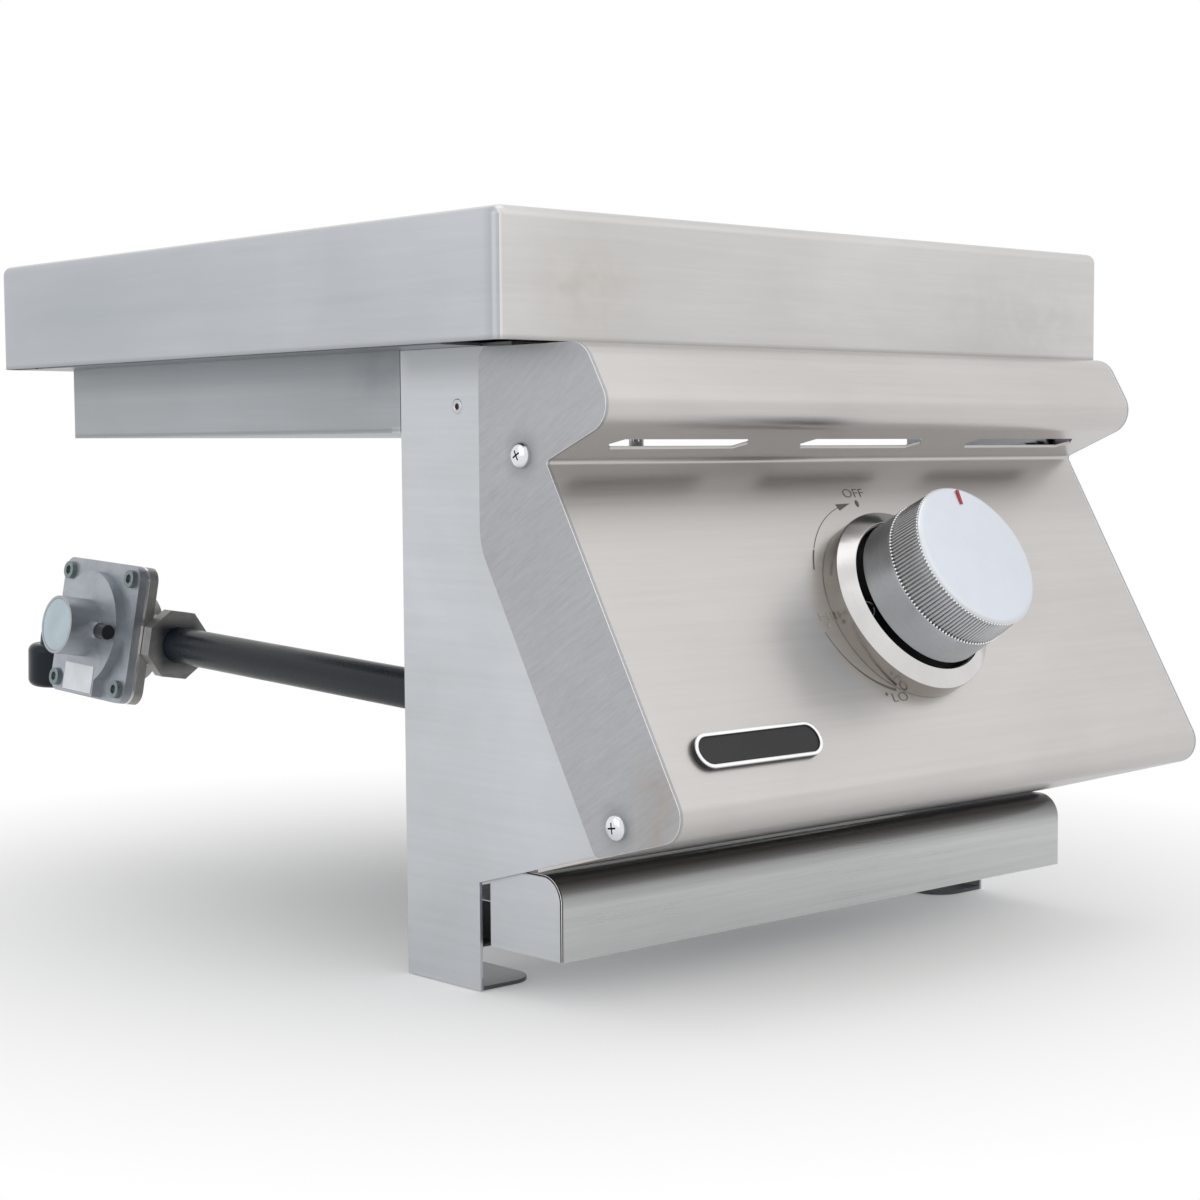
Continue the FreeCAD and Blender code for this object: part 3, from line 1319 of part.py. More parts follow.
def make_burner_head():
    base = new_body("burner_base")
    cup_floor = f"({floor_top} + base_flange_sheet)"
    turn(base, [("tube_radius + thread_clearance", "-base_tail"), ("base_throat", "-base_tail"),
                ("base_throat", floor_top), ("base_flange", floor_top), ("base_flange", cup_floor),
                ("base_cup", cup_floor), ("base_cup", "-base_top"), ("base_cup - base_wall", "-base_top"),
                ("base_cup - base_wall", cup_floor), ("tube_radius + thread_clearance", cup_floor)])
    holes = sketch_on(base, "XY", cup_floor)
    screws = []
    for angle in (90, 210, 330):
        spot = (f"base_screw_circle * cos({angle})", f"base_screw_circle * sin({angle})")
        circle(holes, *spot, "small_screw + hole_clearance")
        item = screw("BaseScrew", "base_screw_head", "small_head_rise", "small_screw",
                     "base_flange_sheet + pan_sheet + base_screw_tail")
        screws.append(place(item, (*spot, cup_floor)))
    pocket(base, holes, "base_flange_sheet")
    sub_part(group("BurnerScrews", screws), "burner_screws")
    ring = new_body("burner_ring")
    ring_top = "(ring_rise - base_top)"
    turn(ring, [("ring_inner", "-base_top"), ("ring_outer", "-base_top"), ("ring_outer", ring_top),
                ("ring_inner", ring_top)])
    port_height = f"{ring_top} - ring_rise / 2"
    port = circle(sketch_on(ring, "YZ", "ring_inner - margin"), "0", port_height, "ring_port")
    hole = pocket(ring, port, "ring_outer - ring_inner + 2 * margin", back=True)
    pattern = ring.newObject("PartDesign::PolarPattern", "RingPorts")
    pattern.Originals = [hole]
    axis = next(f for f in ring.Origin.OriginFeatures if f.Role == "Z_Axis")
    pattern.Axis = (axis, [""])
    pattern.Angle = 360
    bind(pattern, Occurrences="ring_ports")
    ring.Tip = pattern
    cap = new_body("burner_cap")
    spigot = "(ring_inner - shaft_clearance)"
    turn(cap, [("0", f"{ring_top} - cap_spigot"), (spigot, f"{ring_top} - cap_spigot"), (spigot, ring_top),
               ("cap_radius", ring_top), ("cap_radius", f"{ring_top} + cap_rise / 2"),
               ("cap_crown", f"{ring_top} + cap_rise"), ("0", f"{ring_top} + cap_rise")])


def make_electrode():
    foot = ("electrode_x", "0", "-ceramic_low")
    shaft = rod("CeramicShaft", foot, "ceramic_radius", "ceramic_low - ceramic_top")
    collar_low = f"({floor_top} + clip_sheet)"
    collar = rod("CeramicCollar", ("electrode_x", "0", collar_low), "ceramic_collar", "ceramic_collar_rise")
    bore = rod("CeramicBore", ("electrode_x", "0", "-ceramic_low - margin"),
               "tip_radius + thread_clearance",
               "ceramic_low + ceramic_top + 2 * margin")
    sub_part(cut("Electrode", join("ElectrodeBlank", shaft, collar), bore), "igniter_electrode")
    body = new_body("electrode_tip")
    path = sketch_on(body, "XZ")
    path_start = ("electrode_x", "-ceramic_low")
    bent_path(path, path_start, ("electrode_x - tip_reach", "tip_top"), "tip_bend", upright=True)
    sweep(body, path, circle(sketch_on(body, "XY", "-ceramic_low"), "electrode_x", "0", "tip_radius"))
    clip = new_body("electrode_clip")
    strip = sketch_on(clip, "XY", floor_top)
    start = "(base_flange + seam_gap)"
    rectangle(strip, start, f"{start} + clip_length", "-clip_width / 2", "clip_width / 2")
    circle(strip, "electrode_x", "0", "ceramic_radius + hole_clearance")
    pad(clip, strip, "clip_sheet")


# Grate

def make_grate():
    half_x, half_y = "(grate_width / 2 - grate_rod)", "(grate_depth / 2 - grate_rod)"
    height = "(grate_top - grate_rod)"
    run_x, run_y = f"({half_x} - grate_corner)", f"({half_y} - grate_corner)"
    pieces = []
    for sign in ("-", ""):
        side, end = (f"{sign}{half_x}", f"-{run_y}", height), (f"-{run_x}", f"{sign}{half_y}", height)
        pieces.append(rod("GrateSide", side, "grate_rod", f"2 * {run_y}", along_y))
        pieces.append(rod("GrateEnd", end, "grate_rod", f"2 * {run_x}", along_x))
    for sx, sy, angle in (("", "", "0"), ("-", "", "90"), ("-", "-", "180"), ("", "-", "270")):
        bend = doc.addObject("Part::Torus", "GrateBend")
        bind(bend, Radius1="grate_corner", Radius2="grate_rod")
        bend.Angle3 = 90
        pieces.append(place(bend, (f"{sx}{run_x}", f"{sy}{run_y}", height), (about_z, angle)))
        foot = (f"{sx}{half_x}", f"{sy}({run_y} - grate_leg_in)", floor_top)
        pieces.append(rod("GrateLeg", foot, "grate_rod", f"{height} - {floor_top}"))
    sub_part(join("GrateFrame", *pieces), "grate_frame")
    bars = []
    for number in range(sizes["grate_bars"]):
        y = f"(({number} - (grate_bars - 1) / 2) * grate_bar_pitch)"
        spot = (f"-{half_x} - grate_rod / 2", y, "grate_top + grate_bar")
        bars.append(rod("GrateBar", spot, "grate_bar", f"2 * {half_x} + grate_rod", along_x))
    sub_part(group("GrateBars", bars), "grate_bars")


# Drip tray

def tray_plan(inset, front):
    wide, narrow = f"({half_tray} - {inset})", f"({half_tray} - tray_step - {inset})"
    neck_back = f"-tray_neck + tray_neck_slant - {inset}"
    half = [(f"-{narrow}", f"-tray_rear - {inset}"), (f"-{narrow}", neck_back),
            (f"-{wide}", f"-tray_neck - {inset}"), (f"-{wide}", front)]
    return mirrored(half)


def make_drip_tray():
    body = new_body("drip_tray")
    front = "-tray_front_y + tray_sheet"
    height = f"(tray_floor - {tray_top})"
    pad(body, outline(sketch_on(body, "XY", "-tray_floor"), tray_plan("0", front)), height)
    fillet_along(body, 0, [(front, f"-{tray_top}")], "tray_round - tray_sheet")
    hollow = outline(sketch_on(body, "XY", f"-{tray_top}"), tray_plan("tray_sheet", f"{front} - margin"))
    pocket(body, hollow, f"{height} - tray_sheet")
    low_rear = sketch_on(body, "XY", f"-{tray_top}")
    rectangle(low_rear, f"-{half_tray}", half_tray, "-tray_neck + margin", "-tray_rear + margin")
    pocket(body, low_rear, f"tray_rear_top - {tray_top}")
    make_tray_front()
    for side, node in ((-1, "tray_rail_left"), (1, "tray_rail_right")):
        rail = new_body(node)
        wall, tip = f"{side} * {half_inside}", f"{side} * ({half_inside} - rail_reach)"
        stem = f"{side} * ({half_inside} - rail_sheet)"
        low = f"{rail_top} - rail_sheet"
        section = [(wall, low), (tip, low), (tip, rail_top), (stem, rail_top), (stem, f"{low} + rail_rise"),
                   (wall, f"{low} + rail_rise")]
        pad(rail, outline(sketch_on(rail, "XZ", "rail_back"), section), "rail_front - rail_back")


def make_tray_front():
    body = new_body("tray_front")
    section = [("-tray_front_y", "-tray_floor"), ("-tray_front_y + tray_sheet", "-tray_floor"),
               ("-tray_front_y + tray_sheet", "-tray_front_top - tray_sheet"),
               ("-tray_front_y + tray_lip", "-tray_front_top - tray_sheet"),
               ("-tray_front_y + tray_lip", "-tray_front_top"), ("-tray_front_y", "-tray_front_top")]
    pad(body, outline(sketch_on(body, "YZ", f"-{half_tray}"), section), f"2 * {half_tray}")
    fillet_along(body, 0, [section[5]], "tray_round")
    fillet_along(body, 0, [section[2]], "tray_round - tray_sheet")


def build():
    make_lid()
    make_lid_bumpers()
    make_burner_pan()
    make_side_bracket(-1, "side_bracket_left")
    make_side_bracket(1, "side_bracket_right")
    make_bracket_rivets()
    make_cross_rail()
    make_pipe_strap()
    make_control_panel()
    make_end_cap(-1, "panel_end_cap_left")
    make_end_cap(1, "panel_end_cap_right")
    make_panel_fasteners()
    make_badge()
    make_knob_bezel()
    make_knob()
    make_valve()
    make_gas_pipe()
    make_regulator()
    make_inlet_elbow()
    make_venturi()
    make_burner_head()
    make_electrode()
    make_grate()
    make_drip_tray()
    doc.recompute()


def faults():
    found = []
    for item in doc.Objects:
        if {"Invalid", "Error"} & set(item.State):
            found.append(f"{item.Label}: {item.State}")
        elif item.TypeId == "PartDesign::Pocket":
            before = item.BaseFeature
            if item.Shape.isNull() or before.Shape.isNull() or item.Shape.Volume >= before.Shape.Volume:
                found.append(f"{item.Label} cuts nothing")
    for item in sub_parts:
        if item.Shape.isNull() or not item.Shape.isValid():
            found.append(f"{item.Label} has no valid shape")
    return found


build()
problems = faults()
if problems:
    raise SystemExit("\n".join(problems))
os.makedirs("parts", exist_ok=True)
for item in sub_parts:
    item.Shape.exportStep(os.path.join("parts", item.Label + ".step"))
    print(item.Label, len(item.Shape.Solids), round(item.Shape.Volume, 1))
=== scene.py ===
import json
import math
import bmesh
import bpy
from mathutils import Matrix, Vector


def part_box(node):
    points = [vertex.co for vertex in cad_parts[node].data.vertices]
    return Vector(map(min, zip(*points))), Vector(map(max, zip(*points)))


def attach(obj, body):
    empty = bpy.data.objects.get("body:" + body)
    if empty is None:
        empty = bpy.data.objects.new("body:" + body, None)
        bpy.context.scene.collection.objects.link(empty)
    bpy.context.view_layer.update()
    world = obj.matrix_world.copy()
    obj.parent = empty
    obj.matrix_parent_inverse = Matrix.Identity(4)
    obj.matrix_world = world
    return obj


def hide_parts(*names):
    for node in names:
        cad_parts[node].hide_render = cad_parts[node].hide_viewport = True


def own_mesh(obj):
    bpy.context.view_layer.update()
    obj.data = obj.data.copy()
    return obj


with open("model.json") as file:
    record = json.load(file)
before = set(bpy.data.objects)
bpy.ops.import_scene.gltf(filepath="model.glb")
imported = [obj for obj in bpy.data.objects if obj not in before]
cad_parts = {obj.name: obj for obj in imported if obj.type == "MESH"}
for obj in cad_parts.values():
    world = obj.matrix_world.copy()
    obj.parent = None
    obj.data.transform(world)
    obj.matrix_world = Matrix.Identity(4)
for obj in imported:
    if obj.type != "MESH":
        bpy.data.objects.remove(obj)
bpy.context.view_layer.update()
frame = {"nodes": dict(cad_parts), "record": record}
nodes = frame["nodes"]
print("frame loaded:", len(nodes), "CAD nodes")

mm = 0.001


# Places on the burner, in metres

# centre of the knob on the sloped face, and the lean of its axis in degrees
dial = {"y": -0.2125, "z": -0.0971232, "lean": 60}
# outer face of the right end plate, and the y and z of its two screws
ends = {"right": 0.1508, "screwTop": (-0.1659, -0.0369), "screwLow": (-0.2154, -0.165321)}

dialCentre = Matrix.Translation((0, dial["y"], dial["z"]))
dialPlace = dialCentre @ Matrix.Rotation(math.radians(dial["lean"]), 4, "X")
dialOut = dialPlace.to_3x3() @ Vector((0, 0, 1))


# Small helpers

def newObject(name, data):
    thing = bpy.data.objects.new(name, data)
    bpy.context.scene.collection.objects.link(thing)
    return thing


def addNode(tree, kind, inputs=None, **settings):
    node = tree.nodes.new(kind)
    for name, value in settings.items():
        setattr(node, name, value)
    for name, value in (inputs or {}).items():
        if isinstance(value, bpy.types.NodeSocket):
            tree.links.new(value, node.inputs[name])
        else:
            node.inputs[name].default_value = value
    return node


def newMaterial(name):
    material = bpy.data.materials.new(name)
    material.use_nodes = True
    tree = material.node_tree
    tree.nodes.clear()
    output = tree.nodes.new("ShaderNodeOutputMaterial")
    shader = tree.nodes.new("ShaderNodeBsdfPrincipled")
    tree.links.new(shader.outputs[0], output.inputs["Surface"])
    return material, tree, shader


def stretched(tree, scale, turn=(0, 0, 0)):
    # the pattern is turned first and stretched after, so that the stretch follows the turned axes
    vector = addNode(tree, "ShaderNodeTexCoord").outputs["Object"]
    if any(turn):
        vector = addNode(tree, "ShaderNodeMapping", {
            "Vector": vector, "Rotation": [math.radians(a) for a in turn]}).outputs[0]
    return addNode(tree, "ShaderNodeMapping", {"Vector": vector, "Scale": scale}).outputs[0]


def noise(tree, vector, detail, roughness, distortion=0.0):
    return addNode(tree, "ShaderNodeTexNoise", {
        "Vector": vector, "Scale": 1.0, "Detail": detail, "Roughness": roughness,
        "Distortion": distortion}).outputs["Fac"]


def math2(tree, operation, first, second=0.0):
    return addNode(tree, "ShaderNodeMath", {0: first, 1: second}, operation=operation).outputs[0]


def ramp(tree, value, fromLow, fromHigh, toLow, toHigh):
    return addNode(tree, "ShaderNodeMapRange", {
        "Value": value, "From Min": fromLow, "From Max": fromHigh,
        "To Min": toLow, "To Max": toHigh}).outputs[0]


def mixColour(tree, fac, first, second):
    node = addNode(tree, "ShaderNodeMix", {"Factor": fac}, data_type="RGBA")
    for socket, value in ((node.inputs[6], first), (node.inputs[7], second)):
        if isinstance(value, bpy.types.NodeSocket):
            tree.links.new(value, socket)
        else:
            socket.default_value = (*value, 1)
    return node.outputs[2]


def blend(tree, first, second, share):
    node = addNode(tree, "ShaderNodeMix", data_type="FLOAT")
    node.inputs[0].default_value = share
    tree.links.new(first, node.inputs[2])
    tree.links.new(second, node.inputs[3])
    return node.outputs[0]


def bump(tree, shader, height, strength, distance):
    node = addNode(tree, "ShaderNodeBump", {"Height": height, "Strength": strength, "Distance": distance})
    tree.links.new(node.outputs[0], shader.inputs["Normal"])


def patch(tree, low, high, fade, share, broken=True):
    # soft-edged region of the piece between two corners, in millimetres, broken up by noise if asked
    spot = addNode(tree, "ShaderNodeSeparateXYZ", {"Vector": stretched(tree, (1 / mm, 1 / mm, 1 / mm))})
    whole = None
    for axis in range(3):
        if low[axis] is None:
            continue
        reach = math2(tree, "SUBTRACT", spot.outputs[axis], (low[axis] + high[axis]) / 2)
        away = math2(tree, "ABSOLUTE", reach)
        half = (high[axis] - low[axis]) / 2
        soft = min(fade, half)
        inside = ramp(tree, away, half - soft, half + soft, 1, 0)
        whole = inside if whole is None else math2(tree, "MULTIPLY", whole, inside)
    if broken:
        rough = ramp(tree, noise(tree, stretched(tree, (90, 90, 90)), 4.0, 0.6, 0.6), 0.3, 0.62, 0.35, 1)
        whole = math2(tree, "MULTIPLY", whole, rough)
    return math2(tree, "MULTIPLY", whole, share)


def shade(colour, factor):
    return tuple(min(1.0, c * factor) for c in colour)


def stainedAndShaded(tree, base, tints):
    # lays soft tinted regions over the colour: real stains, and also painted shade and painted highlights
    for low, high, fade, tint, *share in tints:
        base = mixColour(tree, patch(tree, low, high, fade, *share), base, tint)
    return base


# Finishes

def brushedSteel(name, colour, grain, roughness, turn=(0, 0, 0), streak=0.05, cloud=0.05, depth=0.10,
                 scratches=0.0, tints=()):
    # grain is how tight the pattern is along each axis, per metre: low along the brush marks
    # tints are soft regions of other colour: some are real stains, others painted shade and painted
    # highlights
    material, tree, shader = newMaterial(name)
    fine = noise(tree, stretched(tree, grain, turn), 5.0, 0.65)
    broad = noise(tree, stretched(tree, [g * 0.22 for g in grain], turn), 3.0, 0.5)
    clouds = noise(tree, stretched(tree, (9, 9, 14)), 3.0, 0.55, 0.6)
    marks = blend(tree, fine, broad, 0.4)
    spread = cloud + streak
    tone = ramp(tree, blend(tree, marks, clouds, cloud / spread), 0.3, 0.7, 0, 1)
    base = mixColour(tree, tone, shade(colour, 1 - spread), shade(colour, 1 + spread))
    if scratches:
        loose = noise(tree, stretched(tree, (60, 900, 60), (35, 20, 0)), 2.0, 0.5, 0.4)
        base = mixColour(tree, ramp(tree, loose, 0.62, 0.72, 0, scratches), base, shade(colour, 1.18))
    tree.links.new(stainedAndShaded(tree, base, tints), shader.inputs["Base Color"])
    shader.inputs["Metallic"].default_value = 0.9
    rough = ramp(tree, blend(tree, marks, clouds, 0.5), 0.3, 0.7, roughness - 0.06, roughness + 0.06)
    tree.links.new(rough, shader.inputs["Roughness"])
    bump(tree, shader, marks, depth, 0.0004)
    return material


def polishedMetal(name, colour, roughness, turned=None, metallic=1.0, wearSpan=0.06, depth=0.06):
    # turned gives the place and lean of the axis that the fine turning rings run round
    material, tree, shader = newMaterial(name)
    if turned:
        local = addNode(tree, "ShaderNodeMapping", {
            "Vector": addNode(tree, "ShaderNodeTexCoord").outputs["Object"],
            "Location": (0, turned["y"], turned["z"]),
            "Rotation": (math.radians(turned["lean"]), 0, 0)}, vector_type="TEXTURE").outputs[0]
        parts = addNode(tree, "ShaderNodeSeparateXYZ", {"Vector": local})
        flat = addNode(tree, "ShaderNodeCombineXYZ", {"X": parts.outputs[0], "Y": parts.outputs[1]})
        reach = addNode(tree, "ShaderNodeVectorMath", {0: flat.outputs[0]}, operation="LENGTH")
        rings = addNode(tree, "ShaderNodeCombineXYZ", {"X": reach.outputs["Value"], "Z": parts.outputs[2]})
        fine = noise(tree, addNode(tree, "ShaderNodeVectorMath", {
            0: rings.outputs[0], 1: (2600, 2600, 2600)}, operation="MULTIPLY").outputs[0], 3.0, 0.6)
    else:
        fine = noise(tree, stretched(tree, (700, 700, 700)), 3.0, 0.6)
    wear = noise(tree, stretched(tree, (70, 70, 70)), 4.0, 0.6, 0.5)
    worn = ramp(tree, wear, 0.3, 0.7, 0, 1)
    base = mixColour(tree, worn, shade(colour, 1 - wearSpan), shade(colour, 1.02))
    tree.links.new(base, shader.inputs["Base Color"])
    shader.inputs["Metallic"].default_value = metallic
    tree.links.new(ramp(tree, fine, 0.3, 0.7, roughness * 0.85, roughness * 1.2), shader.inputs["Roughness"])
    bump(tree, shader, fine, depth, 0.0002)
    return material


def castMetal(name, colour, roughness, metallic=0.85, grain=900, depth=0.35, shadows=()):
    material, tree, shader = newMaterial(name)
    skin = noise(tree, stretched(tree, (grain,) * 3), 6.0, 0.7)
    tints = noise(tree, stretched(tree, (45, 45, 60)), 5.0, 0.6, 0.8)
    base = mixColour(tree, ramp(tree, tints, 0.32, 0.68, 0, 1), shade(colour, 0.82), shade(colour, 1.12))
    base = mixColour(tree, ramp(tree, skin, 0.5, 0.8, 0, 0.3), base, shade(colour, 0.6))
    tree.links.new(stainedAndShaded(tree, base, shadows), shader.inputs["Base Color"])
    shader.inputs["Metallic"].default_value = metallic
    rough = ramp(tree, tints, 0.3, 0.7, roughness - 0.08, roughness + 0.1)
    tree.links.new(rough, shader.inputs["Roughness"])
    bump(tree, shader, skin, depth, 0.0003)
    return material


def moulded(name, colour, roughness, metallic=0.0, grain=1400, depth=0.12, coat=0.0, specular=0.5):
    material, tree, shader = newMaterial(name)
    skin = noise(tree, stretched(tree, (grain,) * 3), 3.0, 0.6)
    dust = noise(tree, stretched(tree, (60, 60, 60)), 4.0, 0.6, 0.3)
    base = mixColour(tree, ramp(tree, dust, 0.35, 0.75, 0, 1), shade(colour, 0.9), shade(colour, 1.12))
    tree.links.new(base, shader.inputs["Base Color"])
    shader.inputs["Metallic"].default_value = metallic
    shader.inputs["Coat Weight"].default_value = coat
    shader.inputs["Specular IOR Level"].default_value = specular
    tree.links.new(ramp(tree, blend(tree, skin, dust, 0.6), 0.3, 0.7, roughness - 0.05, roughness + 0.08),
                   shader.inputs["Roughness"])
    bump(tree, shader, skin, depth, 0.0002)
    return material


def heatedSteel(name, colour, roughness):
    # rod or plate that has been heated: straw and blue tints in patches
    material, tree, shader = newMaterial(name)
    fine = noise(tree, stretched(tree, (500, 500, 500)), 4.0, 0.6)
    heat = noise(tree, stretched(tree, (22, 22, 22)), 3.0, 0.5, 0.5)
    base = mixColour(tree, ramp(tree, heat, 0.4, 0.7, 0, 0.5), colour, (0.42, 0.36, 0.28))
    base = mixColour(tree, ramp(tree, fine, 0.3, 0.7, 0, 0.25), base, shade(colour, 0.7))
    tree.links.new(base, shader.inputs["Base Color"])
    shader.inputs["Metallic"].default_value = 0.9
    rough = ramp(tree, heat, 0.3, 0.7, roughness - 0.08, roughness + 0.08)
    tree.links.new(rough, shader.inputs["Roughness"])
    bump(tree, shader, fine, 0.15, 0.0003)
    return material


warmSteel = (0.57, 0.55, 0.535)
coolSteel = (0.565, 0.585, 0.61)

# soft tinted regions: real stains and marks, and also painted shade and painted highlights
# regions in millimetres: from, to, softness, colour there, how strong, broken up or not
# None leaves an axis free
lidStainsAndPaintedLight = [
    ((-150, None, 8), (-112, None, 38), 16, (0.45, 0.405, 0.35), 0.45),
    ((70, None, 6), (158, None, 34), 20, (0.46, 0.44, 0.415), 0.40),
    # painted highlight: near-white line down the lid's near front corner
    ((-172.6, -180.2, None), (-169.9, -177.6, None), 0.8, (0.97, 0.97, 0.97), 1.0, False),
    # painted shade: dark band along the lid's lower edge
    ((None, None, 1), (None, None, 4.4), 0.8, (0.36, 0.35, 0.34), 0.7, False),
]
lidSidePaintedShade = [
    # painted shade: the lid's side grows darker towards the rear
    ((None, 20, 0), (None, 190, 48), 70, (0.35, 0.38, 0.42), 0.55, False),
    # painted shade: darker band beside the painted highlight of the near corner
    ((None, -177.6, None), (None, -172.5, None), 2.2, (0.36, 0.375, 0.39), 0.5, False),
    # painted shade: dark band along the lower edge
    ((None, None, 1), (None, None, 4.4), 0.8, (0.30, 0.31, 0.33), 0.7, False),
]
bracketShadeAndMarks = [
    # painted shadow of the lid on the top of the bracket
    ((None, -156, -9), (None, -92, 3), 5, (0.34, 0.35, 0.37), 0.5, False),
    # near-black band along the bottom of the brackets' inner parts
    ((-146.4, None, -240), (146.4, None, -232), 0.8, (0.10, 0.105, 0.115), 1.0, False),
]
panStainsAndShade = [
    # darker broken patch near the top of the pan's left wall
    ((-148.6, -95, -12), (-147, -62, 3), 9, (0.20, 0.21, 0.225), 0.8),
    ((None, -95, -29), (None, -85, -26.2), 0.6, (0.62, 0.64, 0.66), 0.8),
    ((None, -94.5, -24.5), (None, -91.5, -20), 0.9, (0.13, 0.12, 0.11), 0.9),
    ((None, -94.5, -5), (None, -92, -2), 0.9, (0.75, 0.77, 0.80), 0.9),
    # painted shade: dark band along the top of the pan's left wall, under the lid
    ((-148.6, None, -8), (-147, None, 6), 3.5, (0.22, 0.23, 0.245), 0.55, False),
    ((-148.6, None, -27.6), (-147, None, -26.6), 0.5, (0.25, 0.255, 0.26), 0.7, False),
]
capStainsAndShade = [
    # painted shade round the two screw heads
    ((None, -172, -43.5), (None, -160, -30.5), 3.5, (0.20, 0.195, 0.20), 0.55, False),
    ((None, -221.5, -171.5), (None, -209.5, -159), 3.5, (0.20, 0.195, 0.20), 0.55, False),
    ((None, -243, -178), (None, -228, -140), 7, (0.38, 0.33, 0.285), 0.6),
]
# painted shade round the pipe where it enters the regulator
socketPaintedShade = [((-110.5, 146, -136.5), (-89.5, 152, -115.5), 2.5, (0.05, 0.065, 0.075), 0.85, False)]
panelShadeAndTint = [
    # painted shade: dark band on the sloped face below the crease
    ((None, -240, -60), (None, -100, -42), 10, (0.42, 0.40, 0.38), 0.45, False),
    # lighter broken patch at the top of the left end
    ((-150, -232, -24), (-128, -210, 0), 8, (0.68, 0.66, 0.64), 0.4),
    # painted shade at the lower left end of the panel
    ((-152, -240, -190), (-128, -205, -170), 9, (0.42, 0.42, 0.42), 0.4, False),
]
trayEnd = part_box("tray_front")[1].x / mm
trayPaintedShade = [
    # painted shade and painted reflection of the dark gap under the panel, along the tray front's top edge
    ((None, None, -196), (None, None, -186), 5.5, (0.055, 0.05, 0.048), 0.95, False),
    # painted shade at the left end of the tray front, beside the leg
    ((-trayEnd - 2, None, None), (-trayEnd + 0.7, None, None), 0.25, (0.04, 0.03, 0.028), 1.0, False),
]

